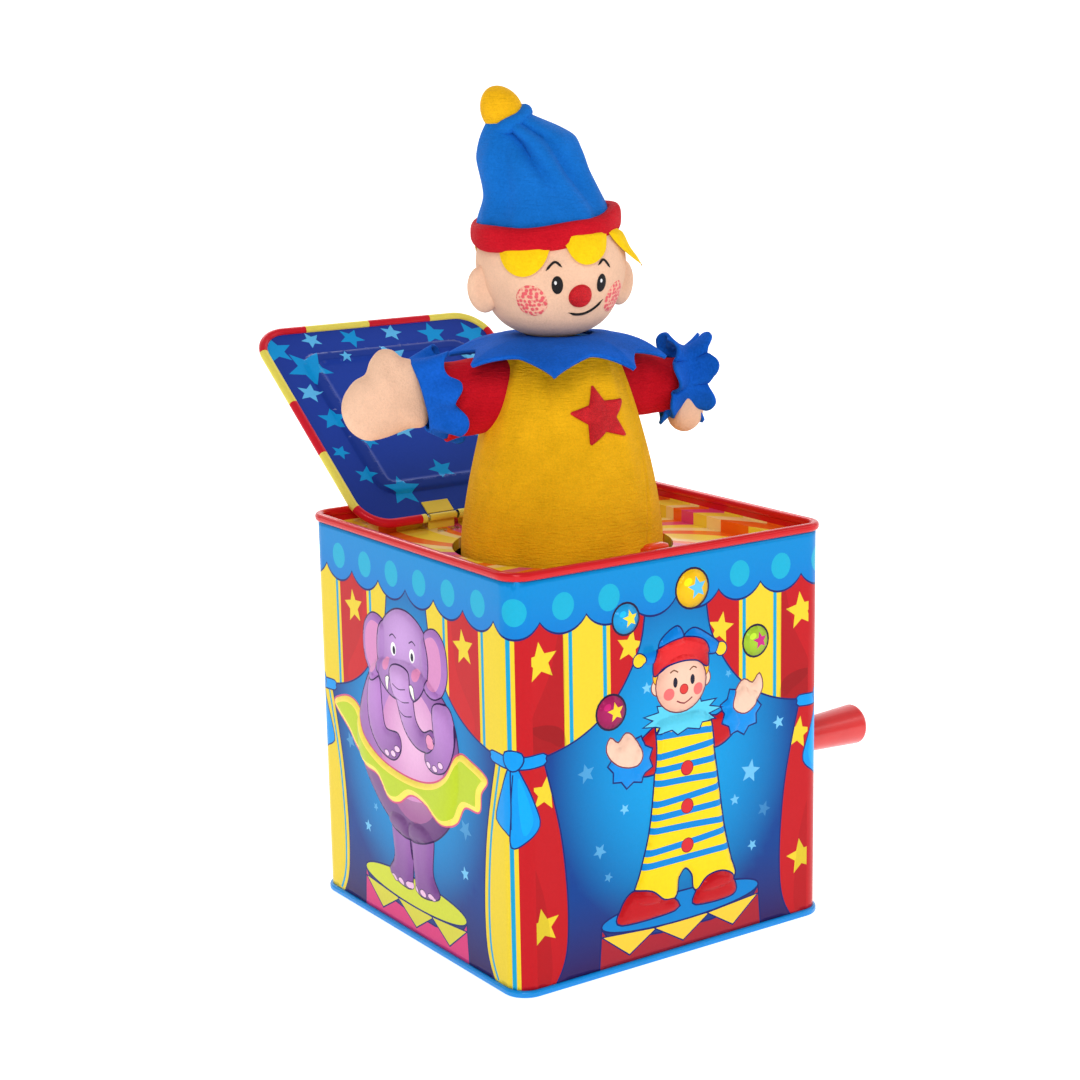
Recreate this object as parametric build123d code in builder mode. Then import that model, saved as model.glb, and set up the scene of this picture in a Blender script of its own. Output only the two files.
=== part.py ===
from build123d import *
import os
from math import acos, cos, pi, radians, sin, tan

# A jack in the box: a printed tin box with a hinged lid, a hand-cranked music movement that trips
# the lid's latch, and a fabric clown on a coil spring. Millimetres; +Z is up, -Y is the front with
# the latch, +X is the crank side and +Y the hinge side. The origin is the middle of the box's
# underside, on the table.

os.makedirs("parts", exist_ok=True)

# ------------------------------------------------------------------------- driving dimensions
# tin box
box_width = 140.0  # across the outside of the walls, both ways
box_height = 153.6  # table to the top of the rim
wall_corner_radius = 8.0
tin = 0.5  # thickness of the tinplate
rim_bead = 3.2  # the bead rolled round the top
foot_bead = 2.6  # the bead rolled round the bottom
bead_stand = 1.2  # how far both beads stand out from the wall
floor_lift = 4.0  # table to the underside of the bottom plate

# top plate
ledge_drop = 6.0  # rim down to the ledge
recess_drop = 4.8  # ledge down to the recess the lid lies in
ledge_width = 10.0  # wall to the recess
recess_width = box_width - 2 * ledge_width
recess_corner_radius = 17.0
mouth_radius = 42.0  # the round hole the clown comes through
mouth_lip = 4.0  # flange turned down round that hole

# lid and its hinge
lid_side_gap = 3.5  # recess round the closed lid
lid_end_gap = 3.0
lid_width = recess_width - 2 * lid_side_gap
lid_length = recess_width - 2 * lid_end_gap
lid_corner_radius = 15.0
lid_hem = 3.6  # diameter of the rolled hem
lid_bead_inset = 18.0
lid_bead_width = 3.0
lid_bead_height = 0.8
lid_open_angle = 143.0
lid_front_gap = 1.8  # closed lid's front edge to the wall of the recess
tongue_width = 12.0
tongue_centre = 20.0  # each hinge tongue's middle, either side of the box's middle
tongue_foot = 11.0
hinge_pin_radius = 0.9
hinge_rivet_radius = 1.2
rivet_head = 1.6  # every rivet's head, as a multiple of its shank
flap_length = 6.0

# latch
hook_width = 9.0
hook_reach = 2.9  # how far the hook's nose passes over the lid
hook_height = 2.7
latch_metal = 1.2
latch_pivot_height = 45.0
latch_travel_angle = 1.8
latch_pin_radius = 1.5
latch_barrel_radius = 3.0
latch_spring_radius = 3.0
latch_spring_wire = 0.6
latch_spring_height = 100.0
latch_arm_width = 8.0  # the side arm that reaches to the cam
latch_bracket_width = 18.0
latch_coil_turns = 5

# crank
crank_height = 75.0
crank_wire = 4.0
crank_arm_back = 40.0  # how far towards the front the knob stands from the shaft
crank_arm_drop = 15.0  # how far below the shaft the knob stands
crank_arm_stand = 7.0  # middle of the arm, out from the wall
crank_bend_radius = 4.0
knob_small = 12.8
knob_large = 15.9
knob_length = 34.0
bush_flange_radius = 6.5
bush_flange = 1.5
bush_sleeve_radius = 4.0

# music movement
movement_metal = 1.2
movement_depth = 28.5  # wall to the far plate
movement_low = 52.0
movement_high = 98.0
gear_module = 1.0
pinion_teeth = 12
gear_teeth = 36
gear_thickness = 2.0
mesh_ease = 0.3  # extra distance between the two gears' axes
drum_radius = 9.0
drum_length = 11.0
drum_shaft_radius = 1.5
drum_pin_length = 1.2
cam_radius = 6.0
cam_lobe_reach = 12.0
comb_tooth_count = 10
comb_slit = 0.3
comb_thickness = 1.0
comb_tooth_length = 9.0
comb_screw_radius = 1.0
comb_screw_head_radius = 1.7
comb_screw_head = 1.0
drum_gap = 1.0  # drum to its gear, along the shaft
gear_hole_count = 5
frame_rivet_radius = 1.5
frame_rivet_inset = 4.0
spring_seat_height = 1.5

# clown
doll_turn = -14.0  # the clown looks a little towards the box's left
spring_radius = 17.0
spring_wire = 1.6
spring_turns = 12
cloth = 1.5
dress_base_radius = 30.0
dress_mouth_gap = 3.0  # the dress in the mouth
dress_mouth_radius = mouth_radius - dress_mouth_gap
dress_waist_taper = 4.0
dress_waist_radius = dress_mouth_radius - dress_waist_taper
dress_waist_rise = 26.0  # over the recess
shoulder_radius = 23.0
shoulder_height = 212.0
neck_radius = 18.0
neck_height = 220.0
head_radius = 28.0
head_height = 249.3
head_shift = -2.5
collar_radius = 39.0
hat_height = 303.0
hat_lean = -17.0
hat_tip_radius = 6.0
band_low = 256.0
band_high = 267.0
arm_height = 199.0
hand_reach = 86.0  # left mitten's tip from the clown's middle
sleeve_end = 45.0
sleeve_thick = 15.0
sleeve_above = 12.0  # the sleeve's top edge over the arm's middle line
sleeve_below = 9.0  # and its bottom edge at the shoulder, under that line
sleeve_flare = 4.0  # how much lower the bottom edge is at the cuff
cuff_thick = 6.0
cuff_half = 15.0
cuff_stand = 2.0  # the cuff's extra depth over the sleeve, front and back
mitten_thick = 13.0
mitten_half = 16.5
mitten_round = 4.0
right_hand_width = 14.0
right_hand_half = 14.0
right_hand_drop = 4.0
right_hand_round = 2.5
ear_radius = 7.0
ear_thick = 6.0
ear_drop = 6.0  # the ears' middles under the head's middle
nose_radius = 4.0
nose_drop = 12.0
collar_drop = 6.0
star_radius = 12.4
star_height = 194.0
star_turn = 11.3  # degrees round the chest from the clown's middle

# clearances
snug = 0.05  # fixed piece in its hole, and running fit of pins and shafts, on the radius
free_gap = 0.4  # pieces that pass each other

# ------------------------------------------------------------------------- derived places
half = box_width / 2
inside = half - tin
floor_top = floor_lift + tin
ledge_z = box_height - ledge_drop
recess_z = ledge_z - recess_drop
bead_outer = box_width + 2 * bead_stand
hem = lid_hem / 2
hinge_y = lid_length - hem + lid_front_gap - recess_width / 2
hinge_z = ledge_z
front_edge_y = hinge_y - (lid_length - hem)

lid_plane = Plane(
    origin=(0, hinge_y, hinge_z),
    x_dir=(1, 0, 0),
    z_dir=(0, -sin(radians(lid_open_angle)), -cos(radians(lid_open_angle))),
)
doll = Plane(
    origin=(0, 0, 0),
    x_dir=(cos(radians(doll_turn)), sin(radians(doll_turn)), 0),
    z_dir=(0, 0, 1),
)
doll_front = Plane(
    origin=(0, 0, 0), x_dir=doll.x_dir, z_dir=(sin(radians(doll_turn)), -cos(radians(doll_turn)), 0)
)


def rounded_ring(outer, inner, outer_corner):
    """A square ring with round corners, drawn in the sketch that is open."""
    RectangleRounded(outer, outer, outer_corner)
    inner_corner = max(outer_corner - (outer - inner) / 2, 0.2)
    RectangleRounded(inner, inner, inner_corner, mode=Mode.SUBTRACT)


def over_tongues(along):
    """The middles of the two hinge tongues, at a distance along the open sketch's Y."""
    return Locations((-tongue_centre, along), (tongue_centre, along))


# ------------------------------------------------------------------------- tin box
wall_top = box_height - rim_bead
with BuildPart() as tin_body:
    with BuildSketch(Plane.XY.offset(foot_bead)):
        rounded_ring(box_width, 2 * inside, wall_corner_radius)
    extrude(amount=wall_top - foot_bead)
    with BuildSketch(Plane.YZ.offset(inside - tin)):
        with Locations((0, crank_height)):
            Circle(bush_sleeve_radius + snug)
    extrude(amount=3 * tin, mode=Mode.SUBTRACT)
tin_body.part.label = "tin_body"
export_step(tin_body.part, "parts/tin_body.step")

# Bottom plate: a shallow pan whose edge is rolled outwards into the bead the box stands on.
with BuildPart() as bottom_plate:
    with BuildSketch():
        rounded_ring(bead_outer, bead_outer - 2 * foot_bead, wall_corner_radius + bead_stand)
    extrude(amount=foot_bead)
    fillet(bottom_plate.edges(), foot_bead * 0.35)
    with BuildSketch(Plane.XY.offset(foot_bead / 2)):
        rounded_ring(2 * (inside - snug), 2 * (inside - snug - tin), wall_corner_radius - tin - snug)
    extrude(amount=floor_top - foot_bead / 2)
    with BuildSketch(Plane.XY.offset(floor_lift)):
        RectangleRounded(2 * (inside - snug), 2 * (inside - snug), wall_corner_radius - tin - snug)
    extrude(amount=tin)
bottom_plate.part.label = "bottom_plate"
export_step(bottom_plate.part, "parts/bottom_plate.step")

# Top plate: rim bead, inner wall, ledge, step, and the recess with the round mouth.
hook_back_y = front_edge_y - free_gap - latch_metal
latch_lean = (ledge_z - latch_pivot_height) * tan(radians(latch_travel_angle))
slot_front_y = hook_back_y - latch_lean - free_gap
slot_rear_y = hook_back_y + latch_metal + free_gap
tongue_y = hinge_y + hinge_pin_radius + snug
with BuildPart() as top_plate:
    with BuildSketch(Plane.XY.offset(wall_top)):
        rounded_ring(bead_outer, bead_outer - 2 * rim_bead, wall_corner_radius + bead_stand)
    extrude(amount=rim_bead)
    fillet(top_plate.edges(), rim_bead * 0.42)
    with BuildSketch(Plane.XY.offset(ledge_z - tin)):
        rounded_ring(2 * (inside - snug), 2 * (inside - snug - tin), wall_corner_radius - tin - snug)
    extrude(amount=wall_top + rim_bead / 2 - ledge_z + tin)
    with BuildSketch(Plane.XY.offset(ledge_z - tin)):
        RectangleRounded(2 * (inside - snug), 2 * (inside - snug), wall_corner_radius - tin - snug)
        RectangleRounded(recess_width, recess_width, recess_corner_radius, mode=Mode.SUBTRACT)
    extrude(amount=tin)
    with BuildSketch(Plane.XY.offset(recess_z - tin)):
        rounded_ring(recess_width + 2 * tin, recess_width, recess_corner_radius + tin)
    extrude(amount=recess_drop + tin)
    with BuildSketch(Plane.XY.offset(recess_z - tin)):
        RectangleRounded(recess_width + tin, recess_width + tin, recess_corner_radius)
        Circle(mouth_radius, mode=Mode.SUBTRACT)
    extrude(amount=tin)
    with BuildSketch(Plane.XY.offset(recess_z - mouth_lip)):
        Circle(mouth_radius + tin)
        Circle(mouth_radius, mode=Mode.SUBTRACT)
    extrude(amount=mouth_lip)
    with BuildSketch(Plane.XY.offset(recess_z - 2 * tin)):
        with Locations((0, (slot_front_y + slot_rear_y) / 2)):
            Rectangle(hook_width + 2 * free_gap, slot_rear_y - slot_front_y)
    extrude(amount=recess_drop + 3 * tin, mode=Mode.SUBTRACT)
    with BuildSketch(Plane.XY.offset(recess_z - 2 * tin)):
        with over_tongues(tongue_y + tin / 2):
            Rectangle(tongue_width + 2 * snug, tin + 2 * snug)
    extrude(amount=3 * tin, mode=Mode.SUBTRACT)
    with BuildSketch(Plane.XY.offset(recess_z - 2 * tin)):
        with over_tongues(tongue_y - tongue_foot / 2):
            with GridLocations(tongue_width / 2, tongue_width, 2, 1):
                Circle(hinge_rivet_radius)
    extrude(amount=3 * tin, mode=Mode.SUBTRACT)
top_plate.part.label = "top_plate"
export_step(top_plate.part, "parts/top_plate.step")

# ------------------------------------------------------------------------- lid hinge
# Two tongues rise through slots in the recess and curl round the lid's pins.
knuckle_radius = hinge_pin_radius + snug + tin
foot_top = recess_z - tin
with BuildPart() as hinge_tongues:
    for side in (-1, 1):
        with BuildSketch(Plane.YZ.offset(side * tongue_centre - tongue_width / 2)):
            with Locations((hinge_y, hinge_z)):
                Circle(knuckle_radius)
            with Locations((tongue_y + tin / 2, (hinge_z + foot_top - tin) / 2)):
                Rectangle(tin, hinge_z - foot_top + tin)
            with Locations((tongue_y + tin - tongue_foot / 2, foot_top - tin / 2)):
                Rectangle(tongue_foot, tin)
            with Locations((hinge_y, hinge_z)):
                Circle(hinge_pin_radius + snug, mode=Mode.SUBTRACT)
        extrude(amount=tongue_width)
    with BuildSketch(Plane.XY.offset(foot_top - 2 * tin)):
        with over_tongues(tongue_y - tongue_foot / 2):
            with GridLocations(tongue_width / 2, tongue_width, 2, 1):
                Circle(hinge_rivet_radius)
    extrude(amount=3 * tin, mode=Mode.SUBTRACT)
hinge_tongues.part.label = "hinge_tongues"
export_step(hinge_tongues.part, "parts/hinge_tongues.step")

with BuildPart() as hinge_rivets:
    for head_low, head_radius_here, length in (
        (recess_z - 2 * tin, hinge_rivet_radius, 2 * tin),
        (recess_z, rivet_head * hinge_rivet_radius, tin),
        (recess_z - 3 * tin, rivet_head * hinge_rivet_radius, tin),
    ):
        with BuildSketch(Plane.XY.offset(head_low)):
            with over_tongues(tongue_y - tongue_foot / 2):
                with GridLocations(tongue_width / 2, tongue_width, 2, 1):
                    Circle(head_radius_here)
        extrude(amount=length)
hinge_rivets.part.label = "hinge_rivets"
export_step(hinge_rivets.part, "parts/hinge_rivets.step")

# Lid: built on its own plane, with the hinge pin's line at its local Y of 0, the front edge
# further along Y, and the side that faces into the box towards local +Z.
notch_width = tongue_width + 2 * free_gap
notch_depth = knuckle_radius + free_gap
pin_grip = 3.0
lid_middle = lid_length / 2 - hem
with BuildPart(lid_plane) as lid:
    with BuildSketch(lid_plane.offset(-hem)):
        with Locations((0, lid_middle)):
            RectangleRounded(lid_width, lid_length, lid_corner_radius)
            RectangleRounded(
                lid_width - 2 * lid_hem, lid_length - 2 * lid_hem, lid_corner_radius - lid_hem,
                mode=Mode.SUBTRACT,
            )
    extrude(amount=lid_hem)
    fillet(lid.edges(), hem * 0.9)
    with BuildSketch(lid_plane.offset(-tin / 2)):
        with Locations((0, lid_middle)):
            RectangleRounded(lid_width - lid_hem, lid_length - lid_hem, lid_corner_radius - hem)
    extrude(amount=tin)
    with BuildSketch(lid_plane.offset(-tin / 2 - lid_bead_height)):
        with Locations((0, lid_middle)):
            RectangleRounded(
                lid_width - 2 * lid_bead_inset, lid_length - 2 * lid_bead_inset, lid_corner_radius / 2
            )
            RectangleRounded(
                lid_width - 2 * lid_bead_inset - 2 * lid_bead_width,
                lid_length - 2 * lid_bead_inset - 2 * lid_bead_width,
                lid_corner_radius / 2 - lid_bead_width,
                mode=Mode.SUBTRACT,
            )
    extrude(amount=lid_bead_height)
    with BuildSketch(lid_plane.offset(-lid_hem)):
        with over_tongues(0):
            Rectangle(notch_width, 2 * notch_depth)
    extrude(amount=2 * lid_hem, mode=Mode.SUBTRACT)
    for side in (-1, 1):
        with BuildSketch(Plane.YZ.offset(side * tongue_centre - notch_width / 2 - pin_grip)):
            with Locations((hinge_y, hinge_z)):
                Circle(hinge_pin_radius)
        extrude(amount=notch_width + 2 * pin_grip, mode=Mode.SUBTRACT)
lid.part.label = "lid"
export_step(lid.part, "parts/lid.step")

with BuildPart() as hinge_pins:
    for side in (-1, 1):
        with BuildSketch(Plane.YZ.offset(side * tongue_centre - notch_width / 2 - pin_grip)):
            with Locations((hinge_y, hinge_z)):
                Circle(hinge_pin_radius)
        extrude(amount=notch_width + 2 * pin_grip)
hinge_pins.part.label = "hinge_pins"
export_step(hinge_pins.part, "parts/hinge_pins.step")

# Flaps folded over the inner face of the lid, one above each tongue.
with BuildPart(lid_plane) as hinge_flaps:
    with BuildSketch(lid_plane.offset(tin / 2)):
        with over_tongues(notch_depth + flap_length / 2):
            Rectangle(tongue_width, flap_length)
    extrude(amount=tin)
    with BuildSketch(lid_plane.offset(hem)):
        with over_tongues(notch_depth):
            Rectangle(2 * lid_hem, 2 * lid_hem)
    extrude(amount=tin, mode=Mode.SUBTRACT)
hinge_flaps.part.label = "hinge_flaps"
export_step(hinge_flaps.part, "parts/hinge_flaps.step")

# ------------------------------------------------------------------------- latch
# A strip of metal on a pivot low on the front wall. Its hook comes up through the slot and lies
# over the closed lid's front edge; a side arm reaches back to the cam on the music drum.
hook_low = hinge_z + hem + free_gap
hook_front_y = front_edge_y + hook_reach
pivot_y = hook_back_y + latch_metal / 2 - latch_barrel_radius + latch_metal / 2
gear_distance = gear_module * (pinion_teeth + gear_teeth) / 2 + mesh_ease
drum_y = -gear_distance
far_plate = inside - movement_depth
cam_low_x = far_plate + movement_metal + 2 * free_gap
finger_end_y = drum_y - cam_lobe_reach - free_gap
with BuildPart() as latch_lever:
    with BuildSketch(Plane.YZ.offset(-hook_width / 2)):
        with Locations((pivot_y, latch_pivot_height)):
            Circle(latch_barrel_radius)
        with Locations((hook_back_y + latch_metal / 2, (latch_pivot_height + hook_low) / 2)):
            Rectangle(latch_metal, hook_low - latch_pivot_height)
        with Locations((pivot_y, latch_pivot_height)):
            Circle(latch_pin_radius + snug, mode=Mode.SUBTRACT)
        with BuildLine():
            Polyline(
                (hook_back_y, hook_low),
                (hook_front_y, hook_low),
                (hook_front_y, hook_low + hook_height * 0.4),
                (hook_back_y + latch_metal, hook_low + hook_height),
                (hook_back_y, hook_low + hook_height),
                close=True,
            )
        make_face()
    extrude(amount=hook_width)
    with BuildSketch(Plane.XY.offset(crank_height - latch_arm_width / 2)):
        with BuildLine():
            Polyline(
                (0, hook_back_y),
                (cam_low_x + latch_metal, hook_back_y),
                (cam_low_x + latch_metal, finger_end_y),
                (cam_low_x, finger_end_y),
                (cam_low_x, hook_back_y + latch_metal),
                (0, hook_back_y + latch_metal),
                close=True,
            )
        make_face()
    extrude(amount=latch_arm_width)
latch_lever.part.label = "latch_lever"
export_step(latch_lever.part, "parts/latch_lever.step")

ear_gap = hook_width / 2 + free_gap
with BuildPart() as latch_bracket:
    with BuildSketch(Plane.XZ.offset(inside - latch_metal)):
        with Locations((0, latch_pivot_height)):
            Rectangle(latch_bracket_width, latch_bracket_width)
    extrude(amount=latch_metal)
    for side in (-1, 1):
        with BuildSketch(Plane.YZ.offset(side * (ear_gap + latch_metal / 2) - latch_metal / 2)):
            with Locations(((pivot_y - inside) / 2, latch_pivot_height)):
                Rectangle(inside + pivot_y, 3 * latch_barrel_radius)
            with Locations((pivot_y, latch_pivot_height)):
                Circle(1.5 * latch_barrel_radius)
                Circle(latch_pin_radius, mode=Mode.SUBTRACT)
        extrude(amount=latch_metal)
latch_bracket.part.label = "latch_bracket"
export_step(latch_bracket.part, "parts/latch_bracket.step")

pin_end = ear_gap + latch_metal
with BuildPart() as latch_pin:
    with BuildSketch(Plane.YZ.offset(-pin_end)):
        with Locations((pivot_y, latch_pivot_height)):
            Circle(latch_pin_radius)
    extrude(amount=2 * pin_end)
    for low in (-pin_end - latch_metal, pin_end):
        with BuildSketch(Plane.YZ.offset(low)):
            with Locations((pivot_y, latch_pivot_height)):
                Circle(rivet_head * latch_pin_radius)
        extrude(amount=latch_metal)
latch_pin.part.label = "latch_pin"
export_step(latch_pin.part, "parts/latch_pin.step")

# Coil between the front wall and the lever, which keeps the hook over the lid.
coil_gap = snug + latch_spring_wire / 2
coil_start_y = -inside + coil_gap
coil_length = hook_back_y - coil_gap - coil_start_y
with BuildPart() as latch_spring:
    with BuildLine() as latch_coil:
        Helix(
            pitch=coil_length / latch_coil_turns,
            height=coil_length,
            radius=latch_spring_radius,
            center=(0, coil_start_y, latch_spring_height),
            direction=(0, 1, 0),
        )
    with BuildSketch(Plane(origin=latch_coil.line @ 0, z_dir=latch_coil.line % 0)):
        Circle(latch_spring_wire / 2)
    sweep(path=latch_coil.line, is_frenet=True)
latch_spring.part.label = "latch_spring"
export_step(latch_spring.part, "parts/latch_spring.step")

# ------------------------------------------------------------------------- crank
shaft_radius = crank_wire / 2
shaft_end = far_plate - movement_metal
arm_x = half + crank_arm_stand
knob_x = arm_x + crank_bend_radius + free_gap
knob_y = -crank_arm_back
knob_z = crank_height - crank_arm_drop
knob_end = knob_x + knob_length
rod_end = knob_end - shaft_radius * 2
with BuildPart() as crank_rod:
    with BuildLine() as rod_line:
        FilletPolyline(
            (shaft_end, 0, crank_height),
            (arm_x, 0, crank_height),
            (arm_x, knob_y, knob_z),
            (rod_end, knob_y, knob_z),
            radius=crank_bend_radius,
        )
    with BuildSketch(Plane.YZ.offset(shaft_end)):
        with Locations((0, crank_height)):
            Circle(shaft_radius)
    sweep(path=rod_line.line)
crank_rod.part.label = "crank_rod"
export_step(crank_rod.part, "parts/crank_rod.step")

# Knob: a tapered plastic grip that turns on the end of the rod.
dome = knob_large * 0.22
with BuildPart() as crank_knob:
    with BuildSketch(Plane.XY.offset(knob_z)):
        with BuildLine():
            Line((knob_x, knob_y), (knob_x, knob_y + knob_small / 2 - 1))
            Line((knob_x, knob_y + knob_small / 2 - 1), (knob_x + 1, knob_y + knob_small / 2))
            Line((knob_x + 1, knob_y + knob_small / 2), (knob_end - dome, knob_y + knob_large / 2))
            EllipticalCenterArc((knob_end - dome, knob_y), dome, knob_large / 2, start_angle=0, arc_size=90)
            Line((knob_end, knob_y), (knob_x, knob_y))
        make_face()
    revolve(axis=Axis((0, knob_y, knob_z), (1, 0, 0)))
    with BuildSketch(Plane.YZ.offset(knob_x)):
        with Locations((knob_y, knob_z)):
            Circle(shaft_radius + snug)
    extrude(amount=rod_end + free_gap - knob_x, mode=Mode.SUBTRACT)
crank_knob.part.label = "crank_knob"
export_step(crank_knob.part, "parts/crank_knob.step")

with BuildPart() as crank_bush:
    with BuildSketch(Plane.YZ.offset(half)):
        with Locations((0, crank_height)):
            Circle(bush_flange_radius)
    extrude(amount=bush_flange)
    with BuildSketch(Plane.YZ.offset(inside)):
        with Locations((0, crank_height)):
            Circle(bush_sleeve_radius)
    extrude(amount=tin)
    with BuildSketch(Plane.YZ.offset(inside - tin)):
        with Locations((0, crank_height)):
            Circle(shaft_radius + snug)
    extrude(amount=bush_flange + 4 * tin, mode=Mode.SUBTRACT)
crank_bush.part.label = "crank_bush"
export_step(crank_bush.part, "parts/crank_bush.step")

# ------------------------------------------------------------------------- music movement
# A folded steel frame on the crank-side wall carries the drum, its gear and the release cam. Both
# shafts run along X, and turn in holes in the frame's near and far plates.
frame_low_y = drum_y - gear_module * gear_teeth / 2 - 2 * movement_metal
frame_high_y = gear_module * pinion_teeth + movement_metal
frame_middle_y = (frame_low_y + frame_high_y) / 2
frame_middle_z = (movement_low + movement_high) / 2
rivet_grid = (
    frame_high_y - frame_low_y - 2 * frame_rivet_inset,
    movement_high - movement_low - 2 * frame_rivet_inset,
)
with BuildPart() as music_frame:
    with BuildSketch(Plane.XZ.offset(-frame_high_y)):
        with Locations(((far_plate + inside) / 2, frame_middle_z)):
            Rectangle(inside - far_plate, movement_high - movement_low)
            Rectangle(
                inside - far_plate - 2 * movement_metal,
                movement_high - movement_low - 2 * movement_metal,
                mode=Mode.SUBTRACT,
            )
    extrude(amount=frame_high_y - frame_low_y)
    with BuildSketch(Plane.YZ.offset(far_plate - movement_metal)):
        with Locations((0, crank_height)):
            Circle(shaft_radius + snug)
        with Locations((drum_y, crank_height)):
            Circle(drum_shaft_radius + snug)
    extrude(amount=movement_depth + 2 * movement_metal, mode=Mode.SUBTRACT)
    with BuildSketch(Plane.YZ.offset(inside - 2 * movement_metal)):
        with Locations((frame_middle_y, frame_middle_z)):
            with GridLocations(*rivet_grid, 2, 2):
                Circle(frame_rivet_radius)
    extrude(amount=2 * movement_metal, mode=Mode.SUBTRACT)
music_frame.part.label = "music_frame"
export_step(music_frame.part, "parts/music_frame.step")

with BuildPart() as frame_rivets:
    for low, radius, length in (
        (inside - movement_metal, frame_rivet_radius, movement_metal),
        (inside - 2 * movement_metal, rivet_head * frame_rivet_radius, movement_metal),
    ):
        with BuildSketch(Plane.YZ.offset(low)):
            with Locations((frame_middle_y, frame_middle_z)):
                with GridLocations(*rivet_grid, 2, 2):
                    Circle(radius)
        extrude(amount=length)
frame_rivets.part.label = "frame_rivets"
export_step(frame_rivets.part, "parts/frame_rivets.step")


def gear_outline(teeth, start_angle, centre_y):
    """Points round a spur gear: each flank runs from root to tip along four points of an involute."""
    pitch = gear_module * teeth / 2
    base = pitch * cos(radians(20))
    thin = 0.09 * gear_module / pitch
    radii = [pitch - 1.25 * gear_module, max(base, pitch - gear_module), pitch, pitch + 0.9 * gear_module]
    half_at_pitch = pi / (2 * teeth) - thin
    slope = tan(radians(20)) - radians(20)
    flank = []
    for radius in radii:
        pressure = acos(min(base / radius, 1.0))
        flank.append((radius, half_at_pitch + slope - (tan(pressure) - pressure)))
    places = []
    for tooth in range(teeth):
        middle = start_angle + 2 * pi * tooth / teeth
        places += [(r, middle - a) for r, a in flank]
        places += [(r, middle + a) for r, a in reversed(flank)]
    return [(centre_y + r * cos(angle), crank_height + r * sin(angle)) for r, angle in places]


gear_x = inside - movement_metal - 3 * gear_thickness
with BuildPart() as pinion:
    with BuildSketch(Plane.YZ.offset(gear_x - gear_thickness / 4)):
        with BuildLine():
            Polyline(*gear_outline(pinion_teeth, pi, 0), close=True)
        make_face()
        with Locations((0, crank_height)):
            Circle(shaft_radius, mode=Mode.SUBTRACT)
    extrude(amount=1.5 * gear_thickness)
pinion.part.label = "pinion"
export_step(pinion.part, "parts/pinion.step")

with BuildPart() as drum_gear:
    with BuildSketch(Plane.YZ.offset(gear_x)):
        with BuildLine():
            Polyline(*gear_outline(gear_teeth, pi / gear_teeth, drum_y), close=True)
        make_face()
        with Locations((drum_y, crank_height)):
            Circle(drum_shaft_radius, mode=Mode.SUBTRACT)
            with PolarLocations(gear_module * gear_teeth / 4, gear_hole_count):
                Circle(gear_module * gear_teeth / 11, mode=Mode.SUBTRACT)
    extrude(amount=gear_thickness)
drum_gear.part.label = "drum_gear"
export_step(drum_gear.part, "parts/drum_gear.step")

# Drum: a cylinder on its shaft, with short pins in as many tracks as the comb has teeth.
drum_x = gear_x - drum_gap - drum_length
track = drum_length / comb_tooth_count
with BuildPart() as drum:
    with BuildSketch(Plane.YZ.offset(drum_x)):
        with Locations((drum_y, crank_height)):
            Circle(drum_radius)
    extrude(amount=drum_length)
    with BuildSketch(Plane.YZ.offset(far_plate)):
        with Locations((drum_y, crank_height)):
            Circle(drum_shaft_radius)
    extrude(amount=movement_depth)
    for pin in range(2 * comb_tooth_count):
        angle = 360 * pin / (2 * comb_tooth_count)
        pin_x = drum_x + track * ((pin * 7) % comb_tooth_count + 0.5)
        radial = (0, cos(radians(angle)), sin(radians(angle)))
        with BuildSketch(Plane(origin=(pin_x, drum_y, crank_height), z_dir=radial)):
            Circle(track / 4)
        extrude(amount=drum_radius + drum_pin_length)
drum.part.label = "drum"
export_step(drum.part, "parts/drum.step")

with BuildPart() as release_cam:
    with BuildSketch(Plane.YZ.offset(cam_low_x)):
        with Locations((drum_y, crank_height)):
            Circle(cam_radius)
        with BuildLine():
            Polyline(
                (drum_y - cam_radius, crank_height),
                (drum_y + cam_radius, crank_height),
                (drum_y + cam_radius / 5, crank_height + cam_lobe_reach * 0.97),
                (drum_y - cam_radius / 5, crank_height + cam_lobe_reach * 0.97),
                close=True,
            )
        make_face()
        with Locations((drum_y, crank_height)):
            Circle(drum_shaft_radius, mode=Mode.SUBTRACT)
    extrude(amount=latch_metal)
release_cam.part.label = "release_cam"
export_step(release_cam.part, "parts/release_cam.step")

# Comb: a steel plate slit into teeth whose tips lie just under the drum's pins.
comb_top = crank_height - drum_radius - drum_pin_length - free_gap
comb_low = comb_top - comb_thickness
comb_tip_y = drum_y
comb_root_y = comb_tip_y - comb_tooth_length
comb_back_y = frame_low_y + movement_metal
screw_y = (comb_root_y + comb_back_y) / 2
screw_spread = drum_length / 2
with BuildPart() as comb:
    with BuildSketch(Plane.XY.offset(comb_low)):
        with Locations((drum_x + drum_length / 2, (comb_tip_y + comb_back_y) / 2)):
            Rectangle(drum_length, comb_tip_y - comb_back_y)
        for slit in range(1, comb_tooth_count):
            with Locations((drum_x + track * slit, (comb_tip_y + comb_root_y) / 2)):
                Rectangle(comb_slit, comb_tip_y - comb_root_y, mode=Mode.SUBTRACT)
        with Locations((drum_x + drum_length / 2, screw_y)):
            with GridLocations(screw_spread, 1, 2, 1):
                Circle(comb_screw_radius, mode=Mode.SUBTRACT)
    extrude(amount=comb_thickness)
comb.part.label = "comb"
export_step(comb.part, "parts/comb.step")

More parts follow.
